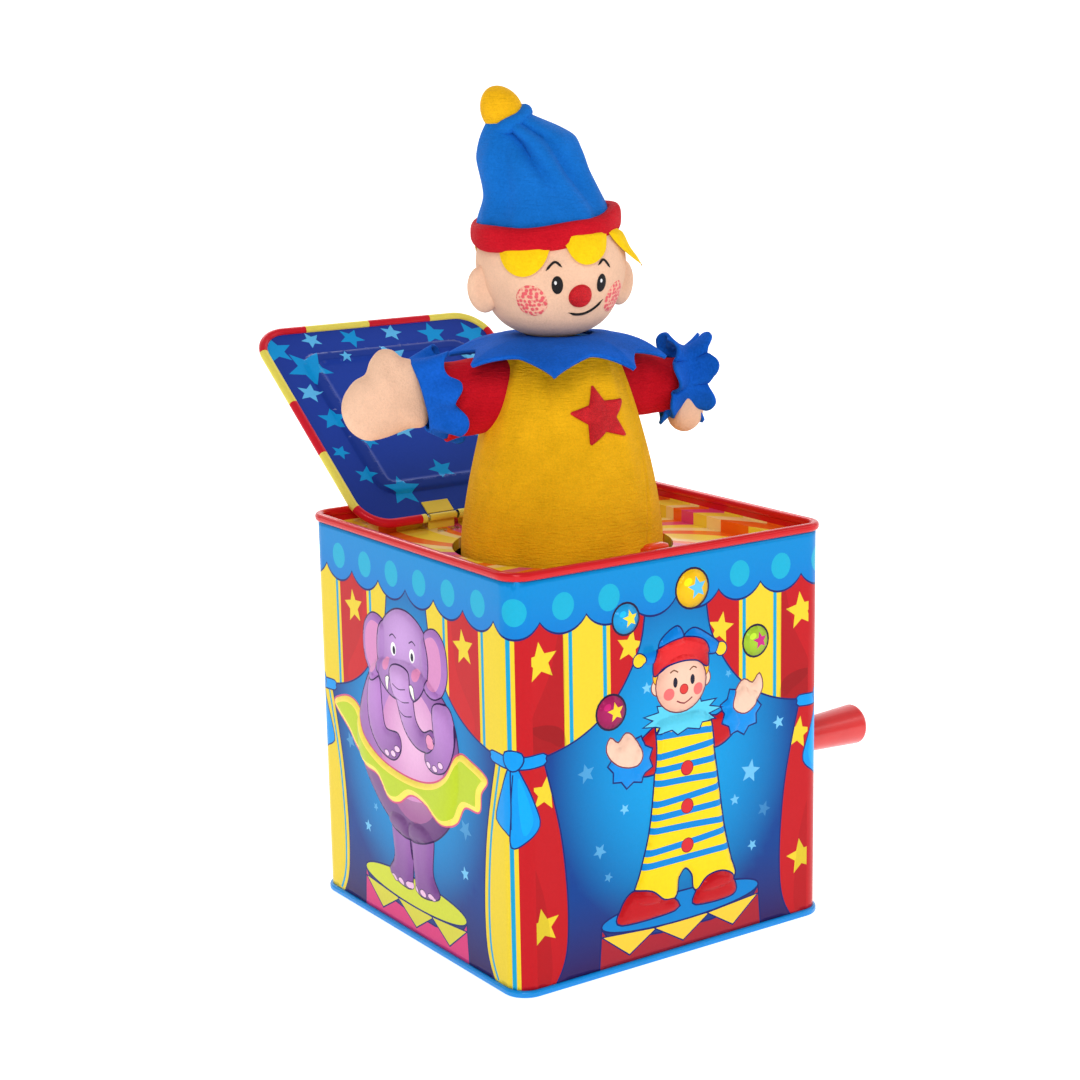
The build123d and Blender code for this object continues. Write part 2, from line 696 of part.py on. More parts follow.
block_low = movement_low + movement_metal
block_front_y = comb_root_y - comb_screw_head
with BuildPart() as comb_block:
    with BuildSketch(Plane.XY.offset(block_low)):
        with Locations((drum_x + drum_length / 2, (block_front_y + comb_back_y) / 2)):
            Rectangle(drum_length, block_front_y - comb_back_y)
        with Locations((drum_x + drum_length / 2, screw_y)):
            with GridLocations(screw_spread, 1, 2, 1):
                Circle(comb_screw_radius, mode=Mode.SUBTRACT)
    extrude(amount=comb_low - block_low)
comb_block.part.label = "comb_block"
export_step(comb_block.part, "parts/comb_block.step")

with BuildPart() as comb_screws:
    for low, radius, length in (
        (block_low, comb_screw_radius, comb_top - block_low),
        (comb_top, comb_screw_head_radius, comb_screw_head),
    ):
        with BuildSketch(Plane.XY.offset(low)):
            with Locations((drum_x + drum_length / 2, screw_y)):
                with GridLocations(screw_spread, 1, 2, 1):
                    Circle(radius)
        extrude(amount=length)
comb_screws.part.label = "comb_screws"
export_step(comb_screws.part, "parts/comb_screws.step")

# ------------------------------------------------------------------------- clown's spring and dress
with BuildPart() as spring_seat:
    with BuildSketch(Plane.XY.offset(floor_top)):
        Circle(dress_base_radius - 2 * cloth)
        Circle(spring_radius - 2 * spring_wire, mode=Mode.SUBTRACT)
    extrude(amount=spring_seat_height)
spring_seat.part.label = "spring_seat"
export_step(spring_seat.part, "parts/spring_seat.step")

neck_plate_height = 2.0
spring_low = floor_top + spring_seat_height + spring_wire / 2 + snug
neck_plate_low = neck_height - 2 * neck_plate_height
spring_high = neck_plate_low - spring_wire / 2 - snug
spring_rise = spring_high - spring_low
with BuildPart() as main_spring:
    with BuildLine() as main_coil:
        Helix(
            pitch=spring_rise / spring_turns,
            height=spring_rise,
            radius=spring_radius,
            center=(0, 0, spring_low),
        )
    with BuildSketch(Plane(origin=main_coil.line @ 0, z_dir=main_coil.line % 0)):
        Circle(spring_wire / 2)
    sweep(path=main_coil.line, is_frenet=True)
main_spring.part.label = "main_spring"
export_step(main_spring.part, "parts/main_spring.step")

with BuildPart() as neck_plate:
    with BuildSketch(Plane.XY.offset(neck_plate_low)):
        Circle(spring_radius + spring_wire / 2)
    extrude(amount=neck_plate_height)
neck_plate.part.label = "neck_plate"
export_step(neck_plate.part, "parts/neck_plate.step")

dress_side = [
    (dress_base_radius, floor_top),
    (dress_base_radius + 3, 0.35 * box_height),
    (min(dress_mouth_radius - 2, far_plate - movement_metal - free_gap), 0.8 * box_height),
    (dress_mouth_radius, recess_z + 1),
    (dress_waist_radius, recess_z + dress_waist_rise),
    (shoulder_radius, shoulder_height),
    (neck_radius + cloth, neck_height),
]


def dress_form(grow):
    """The solid body of revolution that the dress follows, grown outwards by a distance."""
    with BuildPart() as form:
        with BuildSketch(Plane.XZ):
            with BuildLine():
                Polyline(
                    (0, dress_side[0][1]),
                    *[(radius + grow, height) for radius, height in dress_side],
                    (0, dress_side[-1][1]),
                    close=True,
                )
            make_face()
        revolve(axis=Axis.Z)
    return form.part


dress_outside = dress_form(0)
dress_lining = dress_form(-cloth)
dress_room = dress_form(snug)
with BuildPart() as dress:
    add(dress_outside)
    add(dress_lining, mode=Mode.SUBTRACT)
dress.part.label = "dress"
export_step(dress.part, "parts/dress.step")

# ------------------------------------------------------------------------- clown's head and hat
head_middle = (head_shift, 0, head_height)
with BuildPart(doll) as head:
    with Locations(head_middle):
        Sphere(head_radius)
    with Locations((0, 0, neck_height - neck_plate_height)):
        Cylinder(neck_radius - cloth, 6, align=(Align.CENTER, Align.CENTER, Align.MIN))
head.part.label = "head"
export_step(head.part, "parts/head.step")

ear_height = head_height - ear_drop
with BuildPart(doll) as ears:
    with Locations((head_shift - head_radius, 0, ear_height), (head_shift + head_radius, 0, ear_height)):
        Cylinder(ear_radius, ear_thick, rotation=(90, 0, 0))
    fillet(ears.edges().filter_by(GeomType.CIRCLE), ear_thick * 0.4)
    with Locations(head_middle):
        Sphere(head_radius, mode=Mode.SUBTRACT)
ears.part.label = "ears"
export_step(ears.part, "parts/ears.step")

nose_out = (head_radius**2 - nose_drop**2) ** 0.5
with BuildPart(doll) as nose:
    with Locations((head_shift, -nose_out, head_height - nose_drop)):
        Sphere(nose_radius)
    with Locations(head_middle):
        Sphere(head_radius, mode=Mode.SUBTRACT)
nose.part.label = "nose"
export_step(nose.part, "parts/nose.step")

# Hair: a band of felt over the forehead, tucked under the hat.
hair_low = head_height + 1.0
with BuildPart(doll) as hair:
    with Locations(head_middle):
        Sphere(head_radius + cloth / 2)
        Sphere(head_radius, mode=Mode.SUBTRACT)
    split(bisect_by=Plane.XY.offset(hair_low), keep=Keep.TOP)
    split(bisect_by=Plane.XY.offset(band_low - snug), keep=Keep.BOTTOM)
    split(bisect_by=doll_front, keep=Keep.TOP)
hair.part.label = "hair"
export_step(hair.part, "parts/hair.step")

band_radius = head_radius + 2 * cloth
with BuildPart(doll) as hat_band:
    with BuildSketch(doll.offset(band_low)):
        with Locations((head_shift, 0)):
            Circle(band_radius)
            Circle(head_radius + snug, mode=Mode.SUBTRACT)
    extrude(amount=band_high - band_low)
hat_band.part.label = "hat_band"
export_step(hat_band.part, "parts/hat_band.step")

with BuildPart(doll) as hat:
    with BuildSketch(doll.offset(band_high)):
        with Locations((head_shift, 0)):
            Circle(band_radius - cloth)
    with BuildSketch(doll.offset((band_high + hat_height) / 2)):
        with Locations((head_shift + hat_lean * 0.25, 0)):
            Circle(band_radius * 0.62)
    with BuildSketch(doll.offset(hat_height)):
        with Locations((hat_lean, 0)):
            Circle(hat_tip_radius)
    loft()
    with Locations(head_middle):
        Sphere(head_radius + snug, mode=Mode.SUBTRACT)
hat.part.label = "hat"
export_step(hat.part, "parts/hat.step")

with BuildPart(doll) as hat_tip:
    with Locations((hat_lean - hat_tip_radius / 2, 0, hat_height + hat_tip_radius)):
        Sphere(hat_tip_radius)
    with BuildSketch(doll.offset(hat_height)):
        with Locations((hat_lean, 0)):
            Circle(hat_tip_radius)
    extrude(amount=-hat_tip_radius, mode=Mode.SUBTRACT)
hat_tip.part.label = "hat_tip"
export_step(hat_tip.part, "parts/hat_tip.step")

# ------------------------------------------------------------------------- collar, arms, star
collar_top = neck_height + cloth
with BuildPart(doll) as collar:
    with BuildSketch(Plane.XZ):
        with BuildLine():
            Polyline(
                (neck_radius + 3 * cloth, collar_top),
                (collar_radius, collar_top - collar_drop),
                (collar_radius, collar_top - collar_drop - cloth),
                (neck_radius + 3 * cloth, collar_top - cloth),
                close=True,
            )
        make_face()
    revolve(axis=Axis.Z)
    with Locations(head_middle):
        Sphere(head_radius + snug, mode=Mode.SUBTRACT)
collar.part.label = "collar"
export_step(collar.part, "parts/collar.step")

# Each arm is a sleeve, a ruffled cuff and a flat stuffed mitten, laid out along the doll's X.
shoulder_tuck = shoulder_radius - 4.0
for side, name in ((-1, "left"), (1, "right")):
    with BuildPart() as sleeve:
        with BuildSketch(doll_front.offset(-sleeve_thick / 2)):
            with BuildLine():
                Polyline(
                    (side * shoulder_tuck, arm_height + sleeve_above),
                    (side * sleeve_end, arm_height + sleeve_above),
                    (side * sleeve_end, arm_height - sleeve_below - sleeve_flare),
                    (side * shoulder_tuck, arm_height - sleeve_below),
                    close=True,
                )
            make_face()
        extrude(amount=sleeve_thick)
        add(dress_room, mode=Mode.SUBTRACT)
    sleeve.part.label = f"{name}_sleeve"
    export_step(sleeve.part, f"parts/{name}_sleeve.step")

    with BuildPart() as cuff:
        with BuildSketch(doll_front.offset(-sleeve_thick / 2 - cuff_stand)):
            with Locations((side * (sleeve_end + snug + cuff_thick / 2), arm_height)):
                Rectangle(cuff_thick, 2 * cuff_half)
        extrude(amount=sleeve_thick + 2 * cuff_stand)
        fillet(cuff.edges(), cuff_thick / 4)
    cuff.part.label = f"{name}_cuff"
    export_step(cuff.part, f"parts/{name}_cuff.step")

mitten_start = sleeve_end + cuff_thick + 2 * snug
mitten_length = hand_reach - mitten_start
with BuildPart() as left_hand:
    with BuildSketch(doll_front.offset(-mitten_thick / 2)):
        with Locations((-mitten_start - mitten_length / 2, arm_height + 1)):
            Ellipse(mitten_length / 2, mitten_half)
    extrude(amount=mitten_thick)
    fillet(left_hand.edges(), mitten_round)
left_hand.part.label = "left_hand"
export_step(left_hand.part, "parts/left_hand.step")

with BuildPart() as right_hand:
    with BuildSketch(doll_front.offset(-mitten_thick / 2)):
        with Locations((mitten_start + right_hand_width / 2, arm_height - right_hand_drop)):
            Ellipse(right_hand_width / 2, right_hand_half)
    extrude(amount=mitten_thick)
    fillet(right_hand.edges(), right_hand_round)
right_hand.part.label = "right_hand"
export_step(right_hand.part, "parts/right_hand.step")

# Star sewn to the chest, on a plane that leans back with the dress.
low_radius, low_height = dress_side[4]
chest_slope = (low_radius - shoulder_radius) / (shoulder_height - low_height)
chest_radius = shoulder_radius + chest_slope * (shoulder_height - star_height)
front_x, front_y = sin(radians(doll_turn + star_turn)), -cos(radians(doll_turn + star_turn))
star_stand = chest_radius + cloth / 2
star_plane = Plane(
    origin=(front_x * star_stand, front_y * star_stand, star_height),
    x_dir=(-front_y, front_x, 0),
    z_dir=(front_x, front_y, chest_slope),
)
with BuildPart() as chest_star:
    with BuildSketch(star_plane):
        with BuildLine():
            Polyline(
                *[
                    (reach * sin(pi * corner / 5), reach * cos(pi * corner / 5))
                    for corner, reach in enumerate([star_radius, star_radius * 0.48] * 5)
                ],
                close=True,
            )
        make_face()
    extrude(amount=cloth / 2)
chest_star.part.label = "chest_star"
export_step(chest_star.part, "parts/chest_star.step")
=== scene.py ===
import math

import bpy
import numpy as np
from mathutils import Matrix, Vector
from mathutils.geometry import delaunay_2d_cdt


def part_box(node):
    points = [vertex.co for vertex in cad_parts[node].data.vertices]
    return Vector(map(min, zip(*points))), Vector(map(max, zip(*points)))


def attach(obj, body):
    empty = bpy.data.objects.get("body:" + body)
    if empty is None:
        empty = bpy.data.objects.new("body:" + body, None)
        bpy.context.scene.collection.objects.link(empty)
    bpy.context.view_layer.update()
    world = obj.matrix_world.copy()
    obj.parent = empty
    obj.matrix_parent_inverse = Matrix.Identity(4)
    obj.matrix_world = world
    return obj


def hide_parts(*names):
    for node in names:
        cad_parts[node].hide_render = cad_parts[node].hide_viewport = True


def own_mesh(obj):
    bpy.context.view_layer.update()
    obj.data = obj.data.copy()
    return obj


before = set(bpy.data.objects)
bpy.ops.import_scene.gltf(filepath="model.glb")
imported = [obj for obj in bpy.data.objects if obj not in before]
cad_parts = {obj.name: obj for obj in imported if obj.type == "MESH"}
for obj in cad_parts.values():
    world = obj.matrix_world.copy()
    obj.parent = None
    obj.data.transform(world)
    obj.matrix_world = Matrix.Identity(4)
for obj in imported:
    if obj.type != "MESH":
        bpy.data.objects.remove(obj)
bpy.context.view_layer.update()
MM = 0.001

# ---------------------------------------------------------------------------------------------
# TIN BODY. The four walls are one strip of tinplate, printed flat in gloss inks, stamped so that
# its figures stand proud, then wrapped round the corners and locked at the back. The print is
# drawn here on the flat strip, in millimetres along the wall and up it, as shapes laid over one
# another in printing order. The strip is cut into triangles along every shape's edge, so each
# colour ends exactly on its outline, and then it is wrapped round the box.
tin_low, tin_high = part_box("tin_body")
HALF = round(tin_high.x / MM, 3)
CORNER = 8.0
QUARTER = 2 * (HALF - CORNER) + math.pi * CORNER / 2
WALL_LOW = tin_low.z / MM
WALL_HIGH = tin_high.z / MM
TIN = 0.4

NAVY = (20, 34, 108)
SKY = (0, 138, 208)
DOT = (20, 172, 208)
RED = (192, 18, 28)
YELLOW = (232, 204, 46)
LINE_BLUE = (10, 158, 205)
BOW = (0, 150, 232)
PALE_STAR = (120, 200, 240)


def linear(rgb):
    """Display colour, 0 to 255, as linear light: below 0.04045 a straight line, above it a power of 2.4."""
    c = np.asarray(rgb, float) / 255
    return np.where(c <= 0.04045, c / 12.92, ((c + 0.055) / 1.055) ** 2.4)


def curve_through(points, closed=True, step=1.2):
    """A smooth line through the points: each span is the cubic whose end slopes are half the chord between
    the neighbours on either side (Catmull and Rom)."""
    p = np.asarray(points, float)
    if closed:
        p = np.vstack([p[-1], p, p[:2]])
    else:
        p = np.vstack([2 * p[0] - p[1], p, 2 * p[-1] - p[-2]])
    line = []
    for a, b, c, d in zip(p[:-3], p[1:-2], p[2:-1], p[3:]):
        n = max(2, int(np.linalg.norm(c - b) / step))
        t = np.linspace(0, 1, n, endpoint=False)[:, None]
        line.append(
            b + 0.5 * t * (c - a) + t**2 * (a - 2.5 * b + 2 * c - 0.5 * d) + t**3 * (1.5 * (b - c) + 0.5 * (d - a))
        )
    return np.vstack(line) if closed else np.vstack([*line, p[-2]])


def oval(x, z, rx, rz=None, turn=0.0):
    """An ellipse as points: centre plus (rx cos a, rz sin a), turned by an angle in degrees."""
    rz = rx if rz is None else rz
    a = np.linspace(0, 2 * np.pi, max(14, int(6 * max(rx, rz) ** 0.5 + 8)), endpoint=False)
    p = np.stack([rx * np.cos(a), rz * np.sin(a)], 1)
    return turned(p, turn) + (x, z)


def turned(p, degrees):
    """Points turned about the origin."""
    c, s = math.cos(math.radians(degrees)), math.sin(math.radians(degrees))
    return np.asarray(p) @ np.array([[c, s], [-s, c]])


def star(x, z, reach, turn=0.0, waist=0.45, tips=5):
    """A star: points at equal angles whose distance from the middle is the reach and the waist in turn."""
    a = np.pi / 2 + np.arange(2 * tips) * np.pi / tips
    r = np.where(np.arange(2 * tips) % 2 == 0, reach, reach * waist)
    return turned(np.stack([r * np.cos(a), r * np.sin(a)], 1), turn) + (x, z)


def grown(outline, by):
    """The outline moved outwards by a distance: each point shifts along the mean of its two edges' normals,
    by more at a sharp point."""
    p = np.asarray(outline, float)
    edge = np.roll(p, -1, 0) - p
    edge /= np.maximum(np.linalg.norm(edge, axis=1, keepdims=True), 1e-9)
    normal = np.stack([edge[:, 1], -edge[:, 0]], 1)
    x, z = p[:, 0], p[:, 1]
    if np.sum(x * np.roll(z, -1) - np.roll(x, -1) * z) < 0:
        normal = -normal
    both = normal + np.roll(normal, 1, 0)
    both /= np.maximum(np.linalg.norm(both, axis=1, keepdims=True), 1e-9)
    lean = np.clip(np.sum(both * normal, 1), 0.35, 1)
    return p + by * both / lean[:, None]


def ribbon(points, width, smooth=True):
    """A stripe of a given width, or of a width at each end, along an open line: the line moved both ways
    along its normals."""
    line = curve_through(points, False, 1.5) if smooth else np.asarray(points, float)
    slope = np.gradient(line, axis=0)
    slope /= np.linalg.norm(slope, axis=1, keepdims=True)
    side = np.stack([-slope[:, 1], slope[:, 0]], 1)
    start, end = width if isinstance(width, tuple) else (width, width)
    half = np.linspace(start, end, len(line))[:, None] / 2
    return np.vstack([line + side * half, (line - side * half)[::-1]])


def inside(outline, points):
    """Which points lie inside an outline: those whose rightward ray crosses it an odd number of times."""
    o = np.asarray(outline)
    hit = np.zeros(len(points), bool)
    near = np.all((points >= o.min(0)) & (points <= o.max(0)), axis=1)
    p = points[near]
    crossings = np.zeros(len(p), bool)
    for (x1, z1), (x2, z2) in zip(o, np.roll(o, -1, 0)):
        if z1 != z2:
            crossings ^= ((z1 > p[:, 1]) != (z2 > p[:, 1])) & (p[:, 0] < (x2 - x1) * (p[:, 1] - z1) / (z2 - z1) + x1)
    hit[near] = crossings
    return hit


def depth_inside(outline, points):
    """How far each point lies inside an outline, and 0 outside it: the least distance to any of its edges."""
    o = np.asarray(outline)
    hit = np.flatnonzero(inside(o, points))
    best = np.full(len(hit), 1e9)
    p = points[hit]
    for a, b in zip(o, np.roll(o, -1, 0)):
        ab = b - a
        t = np.clip((p - a) @ ab / max(ab @ ab, 1e-12), 0, 1)
        best = np.minimum(best, np.linalg.norm(p - a - t[:, None] * ab, axis=1))
    depth = np.zeros(len(points))
    depth[hit] = best
    return depth


def divided(outline, longest=2.2):
    """The closed outline with each long edge cut into equal steps, so that a raised part bends along it."""
    p = np.asarray(outline, float)
    after = np.roll(p, -1, 0)
    count = np.maximum(np.ceil(np.linalg.norm(after - p, axis=1) / longest).astype(int), 1)
    start, step = np.repeat(p, count, axis=0), np.repeat((after - p) / count[:, None], count, axis=0)
    place = np.arange(count.sum()) - np.repeat(np.cumsum(count) - count, count)
    return start + step * place[:, None]


def flat_print(border, layers, raised, fine=1.3, coarse=4.0):
    """A printed sheet as vertices, triangles, a colour at each triangle's corner, and a height at each
    vertex. layers are (outline, ink, mask): the ink covers what is inside both outlines. An ink is a colour,
    or a function of points and the colours under them. raised are (outline, height, width): the surface
    rises over that width inside the outline along a quarter of an ellipse."""
    lines = [np.asarray(border, float)] + [divided(o) for o, _, _ in layers]
    low, high = lines[0].min(0), lines[0].max(0)
    gx, gz = np.meshgrid(np.arange(low[0], high[0], coarse), np.arange(low[1], high[1], coarse))
    dots = [np.stack([gx.ravel(), gz.ravel()], 1) + coarse / 2]
    if raised:
        gx, gz = np.meshgrid(np.arange(low[0], high[0], fine), np.arange(low[1], high[1], fine))
        close = np.stack([gx.ravel(), gz.ravel()], 1) + fine / 3
        keep = np.zeros(len(close), bool)
        for outline, _, _ in raised:
            keep |= inside(grown(outline, fine), close)
        dots.append(close[keep])
    dots = np.vstack(dots)
    dots = dots[inside(grown(border, -0.3), dots)]
    points, edges, count = [], [], 0
    for line in lines:
        n = len(line)
        edges += [(count + i, count + (i + 1) % n) for i in range(n)]
        points.append(line)
        count += n
    every = np.vstack([*points, dots])
    made = delaunay_2d_cdt([Vector(p) for p in every], edges, [], 0, 1e-4)
    vertices = np.array([tuple(v) for v in made[0]])
    triangles = np.array([f for f in made[2] if len(f) == 3])
    middles = vertices[triangles].mean(1)
    kept = inside(border, middles)
    triangles, middles = triangles[kept], middles[kept]
    colours = np.zeros((len(triangles), 3, 3))
    for outline, ink, mask in layers:
        here = inside(outline, middles)
        if mask is not None:
            here &= inside(mask, middles)
        here = np.flatnonzero(here)
        if callable(ink):
            colours[here] = ink(vertices[triangles[here]], colours[here])
        else:
            colours[here] = linear(ink)
    used, triangles = np.unique(triangles, return_inverse=True)
    vertices = vertices[used]
    triangles = triangles.reshape(-1, 3)
    height = np.zeros(len(vertices))
    for outline, rise, width in raised:
        share = np.clip(depth_inside(outline, vertices) / width, 0, 1)
        height += rise * np.sqrt(np.maximum(1 - (1 - share) ** 2, 0))
    return vertices, triangles, colours, height


def fading(inner, outer, centre, reach, power=1.0):
    """An ink that goes from one colour at a centre to another at a distance from it, given for both ways."""
    a, b = linear(inner), linear(outer)

    def ink(points, under):
        d = np.linalg.norm((points - np.array(centre)) / np.array(reach), axis=-1)
        share = np.clip(d, 0, 1)[..., None] ** power
        return a + (b - a) * share

    return ink


def shade(factor):
    """An ink that darkens or lightens what lies under it by a factor."""
    return lambda points, under: np.clip(under * factor, 0, 1)


def edged(outline, ink, line=0.7, mask=None, line_ink=NAVY):
    """A shape with a dark line round it, as two layers."""
    return [(grown(outline, line), line_ink, mask), (outline, ink, mask)]


# The stage that every wall shares, drawn for one wall: t runs along it from its middle.
DRAPE = [(14.2, 131), (16, 121.5), (20.5, 112), (26.5, 103.5), (34, 96.5), (43, 91.5), (53, 88.4), (62, 87.3), (76, 87)]
HANG = [(58.6, 87), (54.5, 71), (51.5, 57), (49.8, 43), (49, 29), (49.5, 16), (51.5, 8), (55.5, 1)]
VALANCE_CUSP = 135.6
VALANCE_DIP = 130.4
SCALLOP = QUARTER / 7


def mirrored(outline, sign):
    """The outline, or its mirror image across the wall's middle."""
    return np.asarray(outline, float) * (sign, 1)


def valance_edge():
    """The scalloped lower edge: one circular arc per scallop, from cusp to cusp."""
    sag = VALANCE_CUSP - VALANCE_DIP
    radius = (SCALLOP**2 / 4 + sag**2) / (2 * sag)
    span = math.asin(SCALLOP / 2 / radius)
    a = np.linspace(-span, span, 15)[:-1]
    arcs = [
        np.stack([(k + 0.5) * SCALLOP + radius * np.sin(a), VALANCE_DIP + radius * (1 - np.cos(a))], 1)
        for k in range(-5, 5)
    ]
    return np.vstack(arcs)


def stage(kind):
    """The layers of curtains, window, bows and valance for one wall. On a wall of the first kind the curtains
    are red at the corners, and on the second kind yellow, with a blue line where the two meet."""
    edge = QUARTER / 2
    sheet = [(-90, -5), (90, -5), (90, 160), (-90, 160)]

    def window(points, under):
        across = points[..., 0] / 50
        up = (points[..., 1] - 78) / 62
        d = np.clip(np.hypot(across, up), 0, 1.25) ** 2.2
        low = np.clip((34 - points[..., 1]) / 34, 0, 1) ** 1.2 * np.clip(np.abs(points[..., 0]) / 34, 0.25, 1)
        mix = np.clip(d / 1.25, 0, 1)[..., None]
        glow, rim, dusk = linear((0, 156, 224)), linear((6, 62, 140)), linear((50, 30, 92))
        colour = glow + (rim - glow) * mix
        return colour + (dusk - colour) * np.clip(low * 1.15, 0, 1)[..., None]

    layers = [(sheet, window, None)]
    for sign in (-1, 1):
        hang = curve_through(HANG, False)
        low_cloth = mirrored(np.vstack([hang, [(90, -4), (90, 89)]]), sign)
        drape = curve_through(DRAPE, False)
        high_cloth = mirrored(np.vstack([drape, [(90, 87), (90, 138), (13.6, 138)]]), sign)

        def band(a, b, ink, mask, low=-4.0, high=140.0):
            return (mirrored([(a, low), (b, low), (b, high), (a, high)], sign), ink, mask)

        if kind == "red":
            layers += edged(low_cloth, RED)
            layers += [(mirrored(star(59.3, 25, 7.2, 8 * sign), sign), YELLOW, low_cloth)]
            layers += [(mirrored(star(57.6, 74, 6.6, -10 * sign), sign), YELLOW, low_cloth)]
            layers += [(mirrored(curve_through([(68, 56), (60, 40), (56.5, 20), (57, 3), (68, 3)]), sign), shade(0.86), low_cloth)]
            layers += edged(high_cloth, RED)
            layers += [band(29, 49, YELLOW, high_cloth)]
            layers += [band(30.6, 32.2, LINE_BLUE, high_cloth), band(45.2, 46.8, LINE_BLUE, high_cloth)]
            layers += [(mirrored(star(58.6, 121.3, 7.4, 6 * sign), sign), YELLOW, high_cloth)]
            layers += [(mirrored(star(20.4, 120.6, 6.2, -12 * sign), sign), YELLOW, high_cloth)]
            fold = curve_through([(66, 97), (57, 98.5), (49.5, 95), (50, 86), (66, 86)])
            layers += [(mirrored(fold, sign), shade(0.72), high_cloth)]
            fold = curve_through([(49.2, 133), (55, 116), (63, 99), (55, 92), (49.2, 93)])
            layers += [(mirrored(fold, sign), shade(0.84), high_cloth)]
        else:
            layers += edged(low_cloth, YELLOW)
            inner = hang + (2.6, 0)
            layers += [(mirrored(ribbon(inner[: len(inner) : 3], 1.2), sign), LINE_BLUE, low_cloth)]
            layers += edged(high_cloth, YELLOW)
            layers += [band(28.5, 48.6, RED, high_cloth)]
            for a in (25.2, 50.2):
                layers += [band(a, a + 1.6, LINE_BLUE, high_cloth)]
            layers += [(mirrored(star(38.6, 121.6, 6.8, 8 * sign), sign), YELLOW, high_cloth)]
            fold = curve_through([(30, 132), (34, 112), (45, 96), (40, 90), (28, 100)])
            layers += [(mirrored(fold, sign), shade(1.12), high_cloth)]

        # Corner: red on the first kind's side of the line, yellow with a blue line on the other side.
        way = 1 if kind == "red" else -1

        def corner(points):
            p = np.asarray(points, float)
            return np.stack([sign * (edge - way * p[:, 0]), p[:, 1]], 1)

        def upright(a, b, ink):
            return (corner([(a, -5), (b, -5), (b, 136), (a, 136)]), ink, None)

        layers += [upright(-6 if kind == "yellow" else -12, 0.0, YELLOW), upright(0.0, 6.0, RED)]
        layers += [upright(-3.4, -1.6, LINE_BLUE)]
        left = curve_through([(-1.6, 86), (-6.5, 76), (-10.3, 66), (-9.4, 63.2), (-5, 61), (-2.4, 60.2), (-1.8, 70)])
        right = curve_through(
            [(-1.8, 86), (2.4, 79.5), (6, 71), (8.1, 64.5), (7, 61.2), (3, 58), (-1.4, 55.4), (-2.9, 57.5), (-2.2, 68)]
        )
        strap = curve_through([(-13, 86.9), (-12.4, 88.4), (-1, 88.0), (10.2, 88.4), (11, 86.6), (10.2, 84.6), (-1, 84.2), (-12.4, 85)])
        knot = curve_through([(-1.6, 90.4), (1.6, 89.6), (2.2, 87), (0.6, 84.4), (-1.6, 83.4), (-3.8, 84.4), (-5.2, 87), (-4.6, 89.6)])
        for shape, ink in ((left, BOW), (right, BOW), (strap, BOW), (knot, BOW)):
            layers += edged(corner(shape), ink, 0.55)
        layers += [(corner(ribbon([(-1.5, 82), (-2.4, 72), (-2.6, 62)], 0.45)), NAVY, None)]
        layers += [(corner(curve_through([(0.6, 81), (4.6, 70), (5.4, 64), (2, 60), (0.4, 70)])), shade(1.25), corner(right))]

    lower = valance_edge()
    layers += [(np.vstack([lower - (0, 0.8), [(90, 160), (-90, 160)]]), NAVY, None)]
    cloth = np.vstack([lower, [(90, 160), (-90, 160)]])
    layers += [(cloth, fading(SKY, (0, 120, 204), (0, 150), (200, 22), 1.5), None)]
    for k in range(-4, 4):
        layers += [(oval((k + 0.5) * SCALLOP, 139.6, 4.6, 4.9), DOT, None)]
    return layers


def drum(top, body, flag, middle=2.0):
    """The round platform that a figure stands on: a side with a zigzag of flags, and an oval top."""
    side = [(-36, 17), (-33, 12.5), (-10, 10), (14, 9.5), (32, 12), (36, 17), (37.5, -2), (-37.5, -2)]
    side = np.asarray(side, float) + (middle, 0)
    plate = oval(middle, 18.6, 36, 5.4)
    layers = edged(side, body, 0.7)
    for a, tip, b, fall in ((-35.5, -24, -12, 5.6), (-12, 0.5, 12.5, 5.2), (12.5, 24, 35.5, 5.6)):
        high = [14.6 - 2.2 * (1 - (x / 36) ** 2) for x in (a, b)]
        flag_shape = np.array([(a, high[0]), (b, high[1]), (tip, fall)]) + (middle, 0)
        layers += edged(flag_shape, flag, 0.6)
    layers += [(grown(plate, 0.7), NAVY, None), (plate, top, None)]
    return layers


def ball(x, z, r, ink, star_ink, turn=0.0):
    """A juggling ball with a star on it and a highlight."""
    disc = oval(x, z, r)
    dark = tuple(int(c * 0.72) for c in ink)
    layers = [(grown(disc, 0.8), (40, 26, 60), None), (disc, fading(ink, dark, (x - r * 0.3, z + r * 0.3), (r * 1.5,) * 2, 2), None)]
    layers += [(star(x + r * 0.16, z + r * 0.06, r * 0.62, turn), star_ink, None)]
    layers += [(oval(x - r * 0.42, z + r * 0.42, r * 0.26, r * 0.18, 30), shade(1.6), None)]
    return layers, [(disc, 1.9, r * 0.95)]


